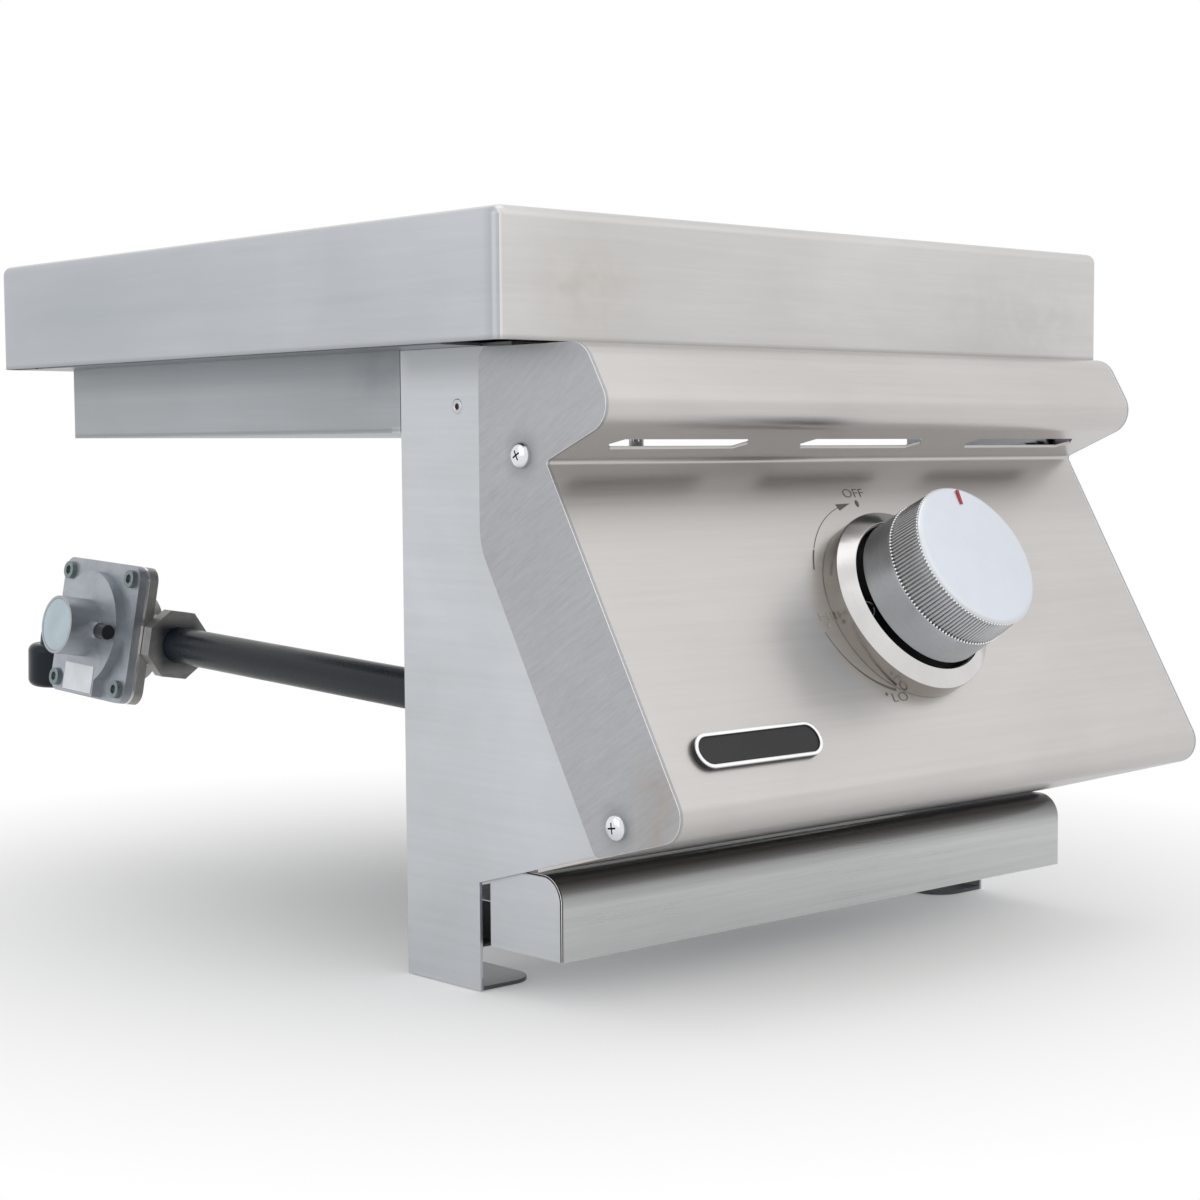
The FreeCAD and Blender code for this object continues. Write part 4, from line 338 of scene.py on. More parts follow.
finishes = {
    "panelSteel": brushedSteel("panelSteel", warmSteel, (14, 620, 620), 0.33, tints=panelShadeAndTint),
    "lidSteel": brushedSteel("lidSteel", (0.61, 0.60, 0.59), (16, 16, 520), 0.36, cloud=0.06,
                             tints=lidStainsAndPaintedLight),
    # painted shade: a cooler, darker copy of the lid's steel for its side faces
    "lidSideShaded": brushedSteel("lidSideShaded", (0.50, 0.52, 0.545), (16, 16, 520), 0.36, cloud=0.06,
                                 tints=lidSidePaintedShade),
    "traySteel": brushedSteel("traySteel", (0.535, 0.54, 0.545), (12, 700, 700), 0.30, streak=0.10,
                              tints=trayPaintedShade),
    "sideSteel": brushedSteel("sideSteel", coolSteel, (300, 16, 520), 0.36),
    "bracketSteel": brushedSteel("bracketSteel", (0.56, 0.58, 0.605), (300, 16, 520), 0.36, scratches=0.1,
                                 tints=bracketShadeAndMarks),
    "panSteel": brushedSteel("panSteel", (0.36, 0.38, 0.40), (300, 14, 500), 0.36, cloud=0.10, streak=0.06,
                             tints=panStainsAndShade),
    "capSteel": brushedSteel("capSteel", (0.415, 0.42, 0.437), (150, 240, 2600), 0.40, turn=(31, 0, 0),
                             streak=0.12, depth=0.12, tints=capStainsAndShade),
    # bright polished metal; on the eased edges of the end caps and tray front and on the knurl's ridge ends
    # it is also a painted highlight
    "polishAndHighlight": polishedMetal("polishAndHighlight", (0.90, 0.90, 0.90), 0.18),
    "zincPlate": castMetal("zincPlate", (0.50, 0.52, 0.53), 0.38, 0.9, 300, 0.10),
    "railZinc": castMetal("railZinc", (0.06, 0.06, 0.065), 0.45, 0.9, 300, 0.10),
    "screwSteel": polishedMetal("screwSteel", (0.74, 0.76, 0.79), 0.16),
    "rivetSteel": polishedMetal("rivetSteel", (0.52, 0.53, 0.55), 0.25),
    "recessDark": moulded("recessDark", (0.13, 0.075, 0.06), 0.6, 0.3),
    # painted shade: near black for the lid's downward faces
    "lidUndersideShade": moulded("lidUndersideShade", (0.085, 0.08, 0.075), 0.5, 0.3),
    "bezelChrome": polishedMetal("bezelChrome", (0.66, 0.65, 0.64), 0.17, dial),
    # painted shade: darker, warmer copy of the bezel's chrome for its outer wall
    "bezelWallShaded": polishedMetal("bezelWallShaded", (0.40, 0.375, 0.35), 0.2, dial),
    "badgeChrome": polishedMetal("badgeChrome", (0.82, 0.82, 0.83), 0.10),
    "badgeEnamel": moulded("badgeEnamel", (0.012, 0.012, 0.013), 0.5, 0.0, 1500, 0.25),
    "knobSteel": polishedMetal("knobSteel", (0.53, 0.56, 0.595), 0.30, dial, wearSpan=0.03, depth=0.03),
    "knobKnurl": polishedMetal("knobKnurl", (0.60, 0.62, 0.64), 0.22, wearSpan=0.03),
    "knobRim": polishedMetal("knobRim", (0.66, 0.69, 0.72), 0.34, wearSpan=0.03),
    # painted shade: dark steel for the core between the knurl's ridges
    "knobGrooveShade": polishedMetal("knobGrooveShade", (0.22, 0.23, 0.24), 0.4, wearSpan=0.03),
    # painted shade: near black for the bezel's well round the stem, in the gap under the knob
    "wellShade": moulded("wellShade", (0.012, 0.012, 0.013), 0.6),
    "knobFace": polishedMetal("knobFace", (0.69, 0.73, 0.79), 0.34, dial, 0.7, 0.015, 0.02),
    "pointerRed": moulded("pointerRed", (0.50, 0.005, 0.02), 0.35),
    "castAlloy": castMetal("castAlloy", (0.40, 0.425, 0.46), 0.42, grain=700, depth=0.5),
    "castGrey": castMetal("castGrey", (0.42, 0.41, 0.40), 0.45, shadows=socketPaintedShade),
    "hexZinc": castMetal("hexZinc", (0.22, 0.26, 0.265), 0.4, 0.8, 300, 0.1),
    "pipeBlack": moulded("pipeBlack", (0.005, 0.010, 0.017), 0.25, 0.0, 500, 0.10, specular=0.24),
    "brass": castMetal("brass", (0.62, 0.44, 0.17), 0.30, 1.0, 260, 0.08),
    "rubberBlack": moulded("rubberBlack", (0.03, 0.03, 0.03), 0.7, 0.0, 900, 0.2),
    "plugBlack": moulded("plugBlack", (0.012, 0.012, 0.014), 0.4, 0.0, 900, 0.2),
    "capDisc": moulded("capDisc", (0.50, 0.60, 0.65), 0.5, 0.0, 700, 0.3),
    "paperLabel": moulded("paperLabel", (0.80, 0.83, 0.86), 0.45, 0.0, 500, 0.1),
    "enamelIron": castMetal("enamelIron", (0.035, 0.035, 0.037), 0.35, 0.0, 420, 0.3),
    "grateSteel": heatedSteel("grateSteel", (0.50, 0.50, 0.51), 0.36),
    "ceramicWhite": moulded("ceramicWhite", (0.80, 0.78, 0.73), 0.18, 0.0, 500, 0.05, 0.4),
    "printGrey": moulded("printGrey", (0.155, 0.135, 0.12), 0.6, 0.0, 900, 0.05),
    "printFaint": moulded("printFaint", (0.40, 0.375, 0.35), 0.6, 0.0, 900, 0.05),
}
print("finishes made:", len(finishes))


# Dressed CAD pieces: same shape, merged, edges eased so that they catch the light

def cleanCopy(node, name):
    mesh = nodes[node].data.copy()
    mesh.name = name
    work = bmesh.new()
    work.from_mesh(mesh)
    bmesh.ops.remove_doubles(work, verts=work.verts, dist=2e-6)
    bmesh.ops.dissolve_limit(work, angle_limit=math.radians(0.4), verts=work.verts, edges=work.edges)
    work.to_mesh(mesh)
    work.free()
    mesh.materials.clear()
    return newObject(name, mesh)


def baked(thing):
    # the modifiers' result becomes the piece's own plain mesh
    graph = bpy.context.evaluated_depsgraph_get()
    graph.update()
    result = bpy.data.meshes.new_from_object(thing.evaluated_get(graph), depsgraph=graph)
    thing.modifiers.clear()
    thing.data = result


def smoothBelow(mesh, angle=35):
    work = bmesh.new()
    work.from_mesh(mesh)
    for face in work.faces:
        face.smooth = True
    for edge in work.edges:
        edge.smooth = len(edge.link_faces) == 2 and edge.calc_face_angle(0) < math.radians(angle)
    work.to_mesh(mesh)
    work.free()


def weighNormals(thing):
    # large flat faces stay flat right up to their eased edges
    smoothBelow(thing.data)
    weigh = thing.modifiers.new("weigh", "WEIGHTED_NORMAL")
    weigh.keep_sharp = True
    weigh.weight = 80
    baked(thing)


bodyOf = {n: body for body, members in frame["record"]["behaviour"]["bodies"].items() for n in members}


def standsFor(thing, node):
    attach(thing, bodyOf[node])
    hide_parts(node)


def dress(node, finish, ease, edgeFinish=None):
    # ease is the width of the eased edge in millimetres
    thing = cleanCopy(node, node + "_dressed")
    thing.data.materials.append(finishes[finish])
    if edgeFinish:
        thing.data.materials.append(finishes[edgeFinish])
    if ease:
        bevel = thing.modifiers.new("ease", "BEVEL")
        bevel.width = ease * mm
        bevel.segments = 2
        bevel.limit_method = "ANGLE"
        bevel.angle_limit = math.radians(40)
        bevel.material = 1 if edgeFinish else -1
        baked(thing)
    weighNormals(thing)
    standsFor(thing, node)
    return thing


dressed = {
    # node: finish, eased edge in millimetres, finish of that edge
    "lid": ("lidSteel", 0.2, None),
    "control_panel": ("panelSteel", 0.25, None),
    "panel_end_cap_left": ("capSteel", 0.7, "polishAndHighlight"),
    "panel_end_cap_right": ("capSteel", 0.7, "polishAndHighlight"),
    "side_bracket_left": ("bracketSteel", 0.2, None),
    "side_bracket_right": ("bracketSteel", 0.2, None),
    "burner_pan": ("panSteel", 0.2, None),
    "tray_front": ("traySteel", 0.15, "polishAndHighlight"),
    "drip_tray": ("sideSteel", 0.15, None),
    "tray_rail_left": ("railZinc", 0.15, None),
    "tray_rail_right": ("railZinc", 0.15, None),
    "cross_rail": ("zincPlate", 0.2, None),
    "pipe_strap": ("zincPlate", 0.2, None),
    "knob_bezel": ("bezelChrome", 0.35, None),
    "knob_body": ("knobSteel", 0.4, None),
    "badge_rim": ("badgeChrome", 0.5, None),
    "badge_plate": ("badgeEnamel", 0.0, None),
    "valve_body": ("brass", 0.3, None),
    "valve_bonnet": ("zincPlate", 0.3, None),
    "piezo_igniter": ("plugBlack", 0.3, None),
    "gas_pipe": ("pipeBlack", 0.3, None),
    "pipe_end_plug": ("pipeBlack", 0.5, None),
    "inlet_elbow": ("pipeBlack", 0.8, None),
    "regulator_cover": ("castAlloy", 0.7, None),
    "regulator_diaphragm": ("polishAndHighlight", 0.2, None),
    "regulator_body": ("castGrey", 0.7, None),
    "regulator_cap": ("capDisc", 0.3, None),
    "regulator_label": ("paperLabel", 0.0, None),
    "vent_plug": ("plugBlack", 0.4, None),
    "venturi_tube": ("zincPlate", 0.2, None),
    "air_shutter": ("zincPlate", 0.2, None),
    "burner_base": ("castAlloy", 0.5, None),
    "burner_ring": ("brass", 0.3, None),
    "burner_cap": ("enamelIron", 0.8, None),
    "grate_frame": ("grateSteel", 0.0, None),
    "grate_bars": ("grateSteel", 0.5, None),
    "igniter_electrode": ("ceramicWhite", 0.3, None),
    "electrode_clip": ("zincPlate", 0.2, None),
    "lid_bumpers": ("rubberBlack", 0.4, None),
}
for node, (finish, ease, edgeFinish) in dressed.items():
    dress(node, finish, ease, edgeFinish)


def refinish(node, finish, chosen):
    # the faces for which chosen(face) is true take another finish
    mesh = bpy.data.objects[node + "_dressed"].data
    mesh.materials.append(finishes[finish])
    for side in mesh.polygons:
        if chosen(side):
            side.material_index = len(mesh.materials) - 1


# bezel: where its outer wall begins and where the well round the stem ends, as radii in millimetres
bezel = {"wallFrom": 37.5, "wellTo": 31.2}


def fromDial(side):
    across = dialPlace.inverted() @ side.center
    return math.hypot(across.x, across.y)


def outerWall(side):
    return fromDial(side) > bezel["wallFrom"] * mm and side.normal.dot(dialOut) < 0.3


def insideWell(side):
    return fromDial(side) < bezel["wellTo"] * mm


refinish("badge_rim", "plugBlack", lambda side: side.normal.dot(dialOut) < 0.25)
# faces that look left or right take the shaded copy of the lid's steel: painted shade
refinish("lid", "lidSideShaded", lambda side: abs(side.normal.x) > 0.7)
# downward faces of the lid are painted dark: painted shade under the lid
refinish("lid", "lidUndersideShade", lambda side: side.normal.z < -0.7)
# the bezel's outer wall takes the shaded copy of its chrome: painted shade
refinish("knob_bezel", "bezelWallShaded", outerWall)
# the bezel's well round the stem is painted dark: painted shade
refinish("knob_bezel", "wellShade", insideWell)
print("dressed pieces:", len(dressed))

# nodes that are fine as they are and only take a better finish
kept = {
    "knob_insert": "zincPlate", "knob_pointer": "pointerRed", "panel_screw_inserts": "zincPlate",
    "valve_plug": "brass", "valve_stem": "screwSteel", "orifice": "brass",
    "regulator_spring": "screwSteel", "electrode_tip": "screwSteel",
}
for node, finish in kept.items():
    mesh = nodes[node].data
    mesh.materials.clear()
    mesh.materials.append(finishes[finish])


# The stem's spring, which the knob presses shorter when pushed in, gets a mesh of its own

def makeStemSpring():
    spring = dress("stem_spring", "screwSteel", 0)
    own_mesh(spring)


makeStemSpring()


# Pieces that repeat, made with Geometry Nodes

def startTree(name, sockets):
    tree = bpy.data.node_groups.new(name, "GeometryNodeTree")
    tree.interface.new_socket("Geometry", in_out="INPUT", socket_type="NodeSocketGeometry")
    for label, kind in sockets.items():
        tree.interface.new_socket(label, in_out="INPUT", socket_type="NodeSocket" + kind)
    tree.interface.new_socket("Geometry", in_out="OUTPUT", socket_type="NodeSocketGeometry")
    return tree, addNode(tree, "NodeGroupInput"), addNode(tree, "NodeGroupOutput")


def xyz(tree, x=0.0, y=0.0, z=0.0):
    return addNode(tree, "ShaderNodeCombineXYZ", {"X": x, "Y": y, "Z": z}).outputs[0]


def endTree(tree, output, geometry):
    real = addNode(tree, "GeometryNodeRealizeInstances", {"Geometry": geometry})
    tree.links.new(real.outputs[0], output.inputs[0])


def growOn(thing, tree, values):
    modifier = thing.modifiers.new(tree.name, "NODES")
    modifier.node_group = tree
    identifiers = {item.name: item.identifier for item in tree.interface.items_tree
                   if item.item_type == "SOCKET" and item.in_out == "INPUT"}
    for label, value in values.items():
        modifier[identifiers[label]] = value
    baked(thing)


def screwTree():
    # on each point a domed head with a cross recess and its shank, along the point's axis
    tree, given, output = startTree("crossHeadScrews", {
        "Head Radius": "Float", "Head Rise": "Float", "Cross Span": "Float", "Cross Width": "Float",
        "Cross Depth": "Float", "Shank Radius": "Float", "Shank Length": "Float", "Metal": "Material",
        "Recess": "Material"})
    i = given.outputs
    ball = addNode(tree, "GeometryNodeMeshUVSphere", {"Segments": 36, "Rings": 20, "Radius": 1.0})
    place = addNode(tree, "GeometryNodeInputPosition").outputs[0]
    spot = addNode(tree, "ShaderNodeSeparateXYZ", {"Vector": place})
    # a pan head is squarer than half a ball, so its height and its reach are both raised by a power
    high = math2(tree, "MAXIMUM", spot.outputs[2], 0.0)
    squarer = math2(tree, "POWER", high, 0.72)
    reach = addNode(tree, "ShaderNodeVectorMath", {
        0: xyz(tree, spot.outputs[0], spot.outputs[1])}, operation="LENGTH").outputs["Value"]
    wide = math2(tree, "POWER", math2(tree, "MAXIMUM", reach, 0.01), -0.22)
    x = math2(tree, "MULTIPLY", math2(tree, "MULTIPLY", spot.outputs[0], wide), i["Head Radius"])
    y = math2(tree, "MULTIPLY", math2(tree, "MULTIPLY", spot.outputs[1], wide), i["Head Radius"])
    z = math2(tree, "MULTIPLY", squarer, i["Head Rise"])
    dome = addNode(tree, "GeometryNodeSetPosition", {
        "Geometry": ball.outputs[0], "Position": xyz(tree, x, y, z)})
    dome = addNode(tree, "GeometryNodeSetMaterial", {"Geometry": dome.outputs[0], "Material": i["Metal"]})
    low = math2(tree, "SUBTRACT", i["Head Rise"], i["Cross Depth"])
    middle = xyz(tree, 0.0, 0.0, math2(tree, "ADD", low, i["Head Rise"]))
    double = math2(tree, "MULTIPLY", i["Head Rise"], 2.0)
    arms = []
    for size in (xyz(tree, i["Cross Span"], i["Cross Width"], double),
                 xyz(tree, i["Cross Width"], i["Cross Span"], double)):
        arm = addNode(tree, "GeometryNodeMeshCube", {"Size": size})
        moved = addNode(tree, "GeometryNodeTransform", {"Geometry": arm.outputs[0], "Translation": middle})
        arms.append(addNode(tree, "GeometryNodeSetMaterial", {
            "Geometry": moved.outputs[0], "Material": i["Recess"]}).outputs[0])
    cut = addNode(tree, "GeometryNodeMeshBoolean", {"Mesh 1": dome.outputs[0]}, operation="DIFFERENCE")
    for arm in arms:
        tree.links.new(arm, cut.inputs["Mesh 2"])
    shank = addNode(tree, "GeometryNodeMeshCylinder", {
        "Vertices": 24, "Radius": i["Shank Radius"], "Depth": i["Shank Length"]})
    down = xyz(tree, 0.0, 0.0, math2(tree, "MULTIPLY", i["Shank Length"], -0.5))
    shank = addNode(tree, "GeometryNodeTransform", {"Geometry": shank.outputs[0], "Translation": down})
    shank = addNode(tree, "GeometryNodeSetMaterial", {"Geometry": shank.outputs[0], "Material": i["Metal"]})
    whole = addNode(tree, "GeometryNodeJoinGeometry")
    tree.links.new(cut.outputs[0], whole.inputs[0])
    tree.links.new(shank.outputs[0], whole.inputs[0])
    axis = addNode(tree, "GeometryNodeInputNamedAttribute", {"Name": "axis"}, data_type="FLOAT_VECTOR")
    spin = addNode(tree, "GeometryNodeInputNamedAttribute", {"Name": "spin"}, data_type="FLOAT")
    aimed = addNode(tree, "FunctionNodeAlignRotationToVector", {"Vector": axis.outputs[0]}, axis="Z")
    local = addNode(tree, "FunctionNodeAxisAngleToRotation", {"Axis": (0, 0, 1), "Angle": spin.outputs[0]})
    turned = addNode(tree, "FunctionNodeRotateRotation", {
        "Rotation": aimed.outputs[0], "Rotate By": local.outputs[0]}, rotation_space="LOCAL")
    placed = addNode(tree, "GeometryNodeInstanceOnPoints", {
        "Points": i["Geometry"], "Instance": whole.outputs[0], "Rotation": turned.outputs[0]})
    endTree(tree, output, placed.outputs[0])
    return tree


def screwSet(node, spots, sizes):
    # spots: place, axis and spin in degrees of each screw
    mesh = bpy.data.meshes.new(node + "_heads")
    mesh.from_pydata([s[0] for s in spots], [], [])
    mesh.attributes.new("axis", "FLOAT_VECTOR", "POINT")
    mesh.attributes.new("spin", "FLOAT", "POINT")
    for number, (_, direction, angle) in enumerate(spots):
        mesh.attributes["axis"].data[number].vector = direction
        mesh.attributes["spin"].data[number].value = math.radians(angle)
    thing = newObject(node + "_heads", mesh)
    values = {"Metal": finishes["screwSteel"], "Recess": finishes["recessDark"]}
    values.update({label: size * mm for label, size in sizes.items()})
    growOn(thing, screws, values)
    smoothBelow(thing.data, 40)
    standsFor(thing, node)


screws = screwTree()

# sizes in millimetres
panelScrew = {"Head Radius": 4.8, "Head Rise": 2.8, "Cross Span": 4.0, "Cross Width": 0.65,
              "Cross Depth": 1.8, "Shank Radius": 2.5, "Shank Length": 14}
smallScrew = {"Head Radius": 3.6, "Head Rise": 2.0, "Cross Span": 3.6, "Cross Width": 0.8,
              "Cross Depth": 1.2, "Shank Radius": 2.0}
bezelScrew = {**smallScrew, "Shank Length": 7.8}
burnerScrew = {**smallScrew, "Head Radius": 3.4, "Shank Length": 7.2}
screwCircles = {"bezelRadius": 20, "bezelFloor": 1.6, "burnerRadius": 43, "burnerFlange": -24}


def placeScrews():
    c = screwCircles
    panel = []
    for side in (-1, 1):
        for (y, z), angle in ((ends["screwTop"], 28), (ends["screwLow"], 8)):
            panel.append(((side * ends["right"], y, z), (side, 0, 0), angle))
    screwSet("panel_screws", panel, panelScrew)
    bezelPlaces = [dialPlace @ Vector((x * mm, 0, c["bezelFloor"] * mm))
                   for x in (-c["bezelRadius"], c["bezelRadius"])]
    screwSet("bezel_screws", [(place[:], dialOut[:], 20) for place in bezelPlaces], bezelScrew)
    burner = []
    for angle in (90, 210, 330):
        a, reach = math.radians(angle), c["burnerRadius"] * mm
        burner.append(((reach * math.cos(a), reach * math.sin(a), c["burnerFlange"] * mm), (0, 0, 1), angle))
    screwSet("burner_screws", burner, burnerScrew)


placeScrews()
print("screws placed")


# Turned pieces: the knob's grip with straight knurling round it, the knob's face and the rivets

# radius in millimetres at which a turned piece closes on its axis
nearAxis = 0.001


def lathe(name, profile, steps):
    # profile: radius and height pairs in millimetres, closed, turned about the local Z axis
    work = bmesh.new()
    rings = []
    for number in range(steps):
        a = 2 * math.pi * number / steps
        rings.append([work.verts.new((r * mm * math.cos(a), r * mm * math.sin(a), h * mm))
                      for r, h in profile])
    for number in range(steps):
        here, there = rings[number], rings[(number + 1) % steps]
        for row in range(len(profile)):
            after = (row + 1) % len(profile)
            work.faces.new((here[row], there[row], there[after], here[after]))
    bmesh.ops.remove_doubles(work, verts=work.verts, dist=1e-7)
    bmesh.ops.recalc_face_normals(work, faces=work.faces)
    mesh = bpy.data.meshes.new(name)
    work.to_mesh(mesh)
    work.free()
    return mesh


# heights and radii in millimetres, from the dial's plane and from its axis
grip = {"rear": 28.8, "front": 43.2, "rearRadius": 29.5, "frontRadius": 28.4, "core": 24.0,
        "rearCut": 0.3, "frontCut": 0.2, "ridges": 124, "ridgeWidth": 0.6, "ridgeLength": 13.8,
        "ridgeSink": 0.1, "dot": 0.52}


def knurlTree():
    # straight ridges laid round a slightly tapered grip, each with a bright rounded end; the bright ends are
    # also a painted highlight, and the dark core between the ridges is painted shade
    tree, given, output = startTree("straightKnurl", {
        "Ridges": "Int", "Radius": "Float", "Width": "Float", "Length": "Float", "Middle": "Float",
        "Taper": "Float", "End Dot": "Float", "Finish": "Material", "End Finish": "Material",
        "Groove Shade Finish": "Material"})
    i = given.outputs
    bar = addNode(tree, "GeometryNodeMeshCylinder", {
        "Vertices": 8, "Side Segments": 6, "Radius": i["Width"], "Depth": i["Length"]}, fill_type="NGON")
    place = addNode(tree, "GeometryNodeInputPosition").outputs[0]
    spot = addNode(tree, "ShaderNodeSeparateXYZ", {"Vector": place})
    half = math2(tree, "MULTIPLY", i["Length"], 0.5)
    along = math2(tree, "DIVIDE", math2(tree, "ABSOLUTE", spot.outputs[2]), half)
    slim = math2(tree, "SUBTRACT", 1.0, math2(tree, "MULTIPLY", math2(tree, "POWER", along, 6.0), 0.4))
    thinX = math2(tree, "MULTIPLY", spot.outputs[0], slim)
    thinY = math2(tree, "MULTIPLY", spot.outputs[1], slim)
    bar = addNode(tree, "GeometryNodeSetPosition", {
        "Geometry": bar.outputs[0], "Position": xyz(tree, thinX, thinY, spot.outputs[2])})
    bar = addNode(tree, "GeometryNodeSetMaterial", {"Geometry": bar.outputs[0], "Material": i["Finish"]})
    ridge = addNode(tree, "GeometryNodeJoinGeometry")
    tree.links.new(bar.outputs[0], ridge.inputs[0])
    for end in (-1, 1):
        ball = addNode(tree, "GeometryNodeMeshUVSphere", {"Segments": 8, "Rings": 5, "Radius": i["End Dot"]})
        proud = math2(tree, "MULTIPLY", i["Width"], 0.75)
        moved = addNode(tree, "GeometryNodeTransform", {
            "Geometry": ball.outputs[0],
            "Translation": xyz(tree, proud, 0.0, math2(tree, "MULTIPLY", half, end))})
        moved = addNode(tree, "GeometryNodeSetMaterial", {
            "Geometry": moved.outputs[0], "Material": i["End Finish"]})
        tree.links.new(moved.outputs[0], ridge.inputs[0])
    ridge = addNode(tree, "GeometryNodeSetShadeSmooth", {"Geometry": ridge.outputs[0]})
    hoop = addNode(tree, "GeometryNodeMeshCircle", {"Vertices": i["Ridges"], "Radius": i["Radius"]})
    raised = addNode(tree, "GeometryNodeTransform", {
        "Geometry": hoop.outputs[0], "Translation": xyz(tree, 0.0, 0.0, i["Middle"])})
    index = addNode(tree, "GeometryNodeInputIndex").outputs[0]
    angle = math2(tree, "MULTIPLY", index, math2(tree, "DIVIDE", 2 * math.pi, i["Ridges"]))
    lean = math2(tree, "MULTIPLY", i["Taper"], -1.0)
    aimed = addNode(tree, "FunctionNodeEulerToRotation", {"Euler": xyz(tree, 0.0, lean, angle)})
    placed = addNode(tree, "GeometryNodeInstanceOnPoints", {
        "Points": raised.outputs[0], "Instance": ridge.outputs[0], "Rotation": aimed.outputs[0]})
    # the core between the ridges takes the dark finish: painted shade in the grooves
    core = addNode(tree, "GeometryNodeSetMaterial", {
        "Geometry": i["Geometry"], "Material": i["Groove Shade Finish"]})
    both = addNode(tree, "GeometryNodeJoinGeometry")
    tree.links.new(core.outputs[0], both.inputs[0])
    tree.links.new(placed.outputs[0], both.inputs[0])
    endTree(tree, output, both.outputs[0])
    return tree


def makeGrip():
    g = grip
    profile = [(g["core"], g["rear"]), (g["rearRadius"] - g["rearCut"], g["rear"]),
               (g["rearRadius"], g["rear"] + g["rearCut"]), (g["frontRadius"], g["front"] - g["frontCut"]),
               (g["frontRadius"] - g["frontCut"], g["front"]), (g["core"], g["front"])]
    thing = newObject("knobGripKnurl", lathe("knobGripKnurl", profile, 144))
    taper = math.atan2(g["rearRadius"] - g["frontRadius"], g["front"] - g["rear"])
    growOn(thing, knurlTree(), {
        "Ridges": g["ridges"], "Width": g["ridgeWidth"] * mm, "Length": g["ridgeLength"] * mm,
        "Taper": taper, "Radius": ((g["rearRadius"] + g["frontRadius"]) / 2 - g["ridgeSink"]) * mm,
        "Middle": (g["rear"] + g["front"]) / 2 * mm, "End Dot": g["dot"] * mm,
        "Finish": finishes["knobKnurl"], "End Finish": finishes["polishAndHighlight"],
        "Groove Shade Finish": finishes["knobGrooveShade"]})
    thing.data.transform(dialPlace)
    smoothBelow(thing.data, 50)
    standsFor(thing, "knob_grip")


disc = {"back": 43.2, "front": 45.0, "rim": 28.9, "edge": 2.4, "dome": 0.5, "lip": 0.2}


def makeFace():
    # satin face, very slightly domed, that rolls over into its rim
    f = disc
    base = f["back"] + f["lip"]
    high = f["front"] - f["dome"] - base
    rolled = [(f["rim"] - f["edge"] * (1 - math.cos(t)), base + high * math.sin(t))
              for t in [math.radians(90 * k / 9) for k in range(10)]]
    start = f["rim"] - f["edge"]
    dome = [(start * (1 - k / 8), f["front"] - f["dome"] * (1 - k / 8) ** 2) for k in range(1, 8)]
    profile = [(nearAxis, f["back"]), (f["rim"], f["back"])] + rolled + dome + [(nearAxis, f["front"])]
    thing = newObject("knobFaceDisc", lathe("knobFaceDisc", profile, 160))
    thing.data.materials.append(finishes["knobFace"])
    thing.data.materials.append(finishes["knobRim"])
    for side in thing.data.polygons:
        reach = math.hypot(side.center.x, side.center.y)
        side.material_index = 1 if reach > (f["rim"] - 0.5 * f["edge"]) * mm else 0
    smoothBelow(thing.data, 40)
    thing.data.transform(dialPlace)
    standsFor(thing, "knob_face")


rivet = {"radius": 2.9, "rise": 0.35, "hole": 1.1, "holeDeep": 0.7, "holeShrink": 0.8, "shank": 2.2,
         "length": 3.5, "tail": 4.0, "tailRise": 0.8}


def makeRivets():
    # blind rivets: a low ring round the broken pin's hole outside, the upset end inside the pan
    r = rivet
    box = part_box("bracket_rivets")
    y, z = (box[0].y + box[1].y) / 2, (box[0].z + box[1].z) / 2
    ring = [(r["hole"] + (r["radius"] - r["hole"]) * (1 + math.cos(t)) / 2, r["rise"] * math.sin(t))
            for t in [math.pi * k / 8 for k in range(1, 8)]]
    low = r["tailRise"] - r["length"]
    profile = [(nearAxis, -r["length"]), (r["tail"], -r["length"]), (r["tail"], low), (r["shank"], low),
               (r["shank"], 0), (r["radius"], 0)] + ring
    profile += [(r["hole"] * r["holeShrink"], -r["holeDeep"]), (nearAxis, -r["holeDeep"])]
    work = bmesh.new()
    for side in (-1, 1):
        mesh = lathe("rivet", profile, 40)
        outward = Matrix.Rotation(side * math.pi / 2, 4, "Y")
        mesh.transform(Matrix.Translation((side * box[1].x, y, z)) @ outward)
        work.from_mesh(mesh)
    whole = bpy.data.meshes.new("bracketRivets")
    work.to_mesh(whole)
    work.free()
    whole.materials.append(finishes["rivetSteel"])
    whole.materials.append(finishes["recessDark"])
    for side in whole.polygons:
        reach = math.hypot(side.center.y - y, side.center.z - z)
        side.material_index = 1 if reach < (r["hole"] - 0.05) * mm else 0
    smoothBelow(whole, 40)
    standsFor(newObject("bracketRivets", whole), "bracket_rivets")


makeGrip()
makeFace()
makeRivets()
print("knob and rivets made")


# Marks printed round the knob, on the sloped face

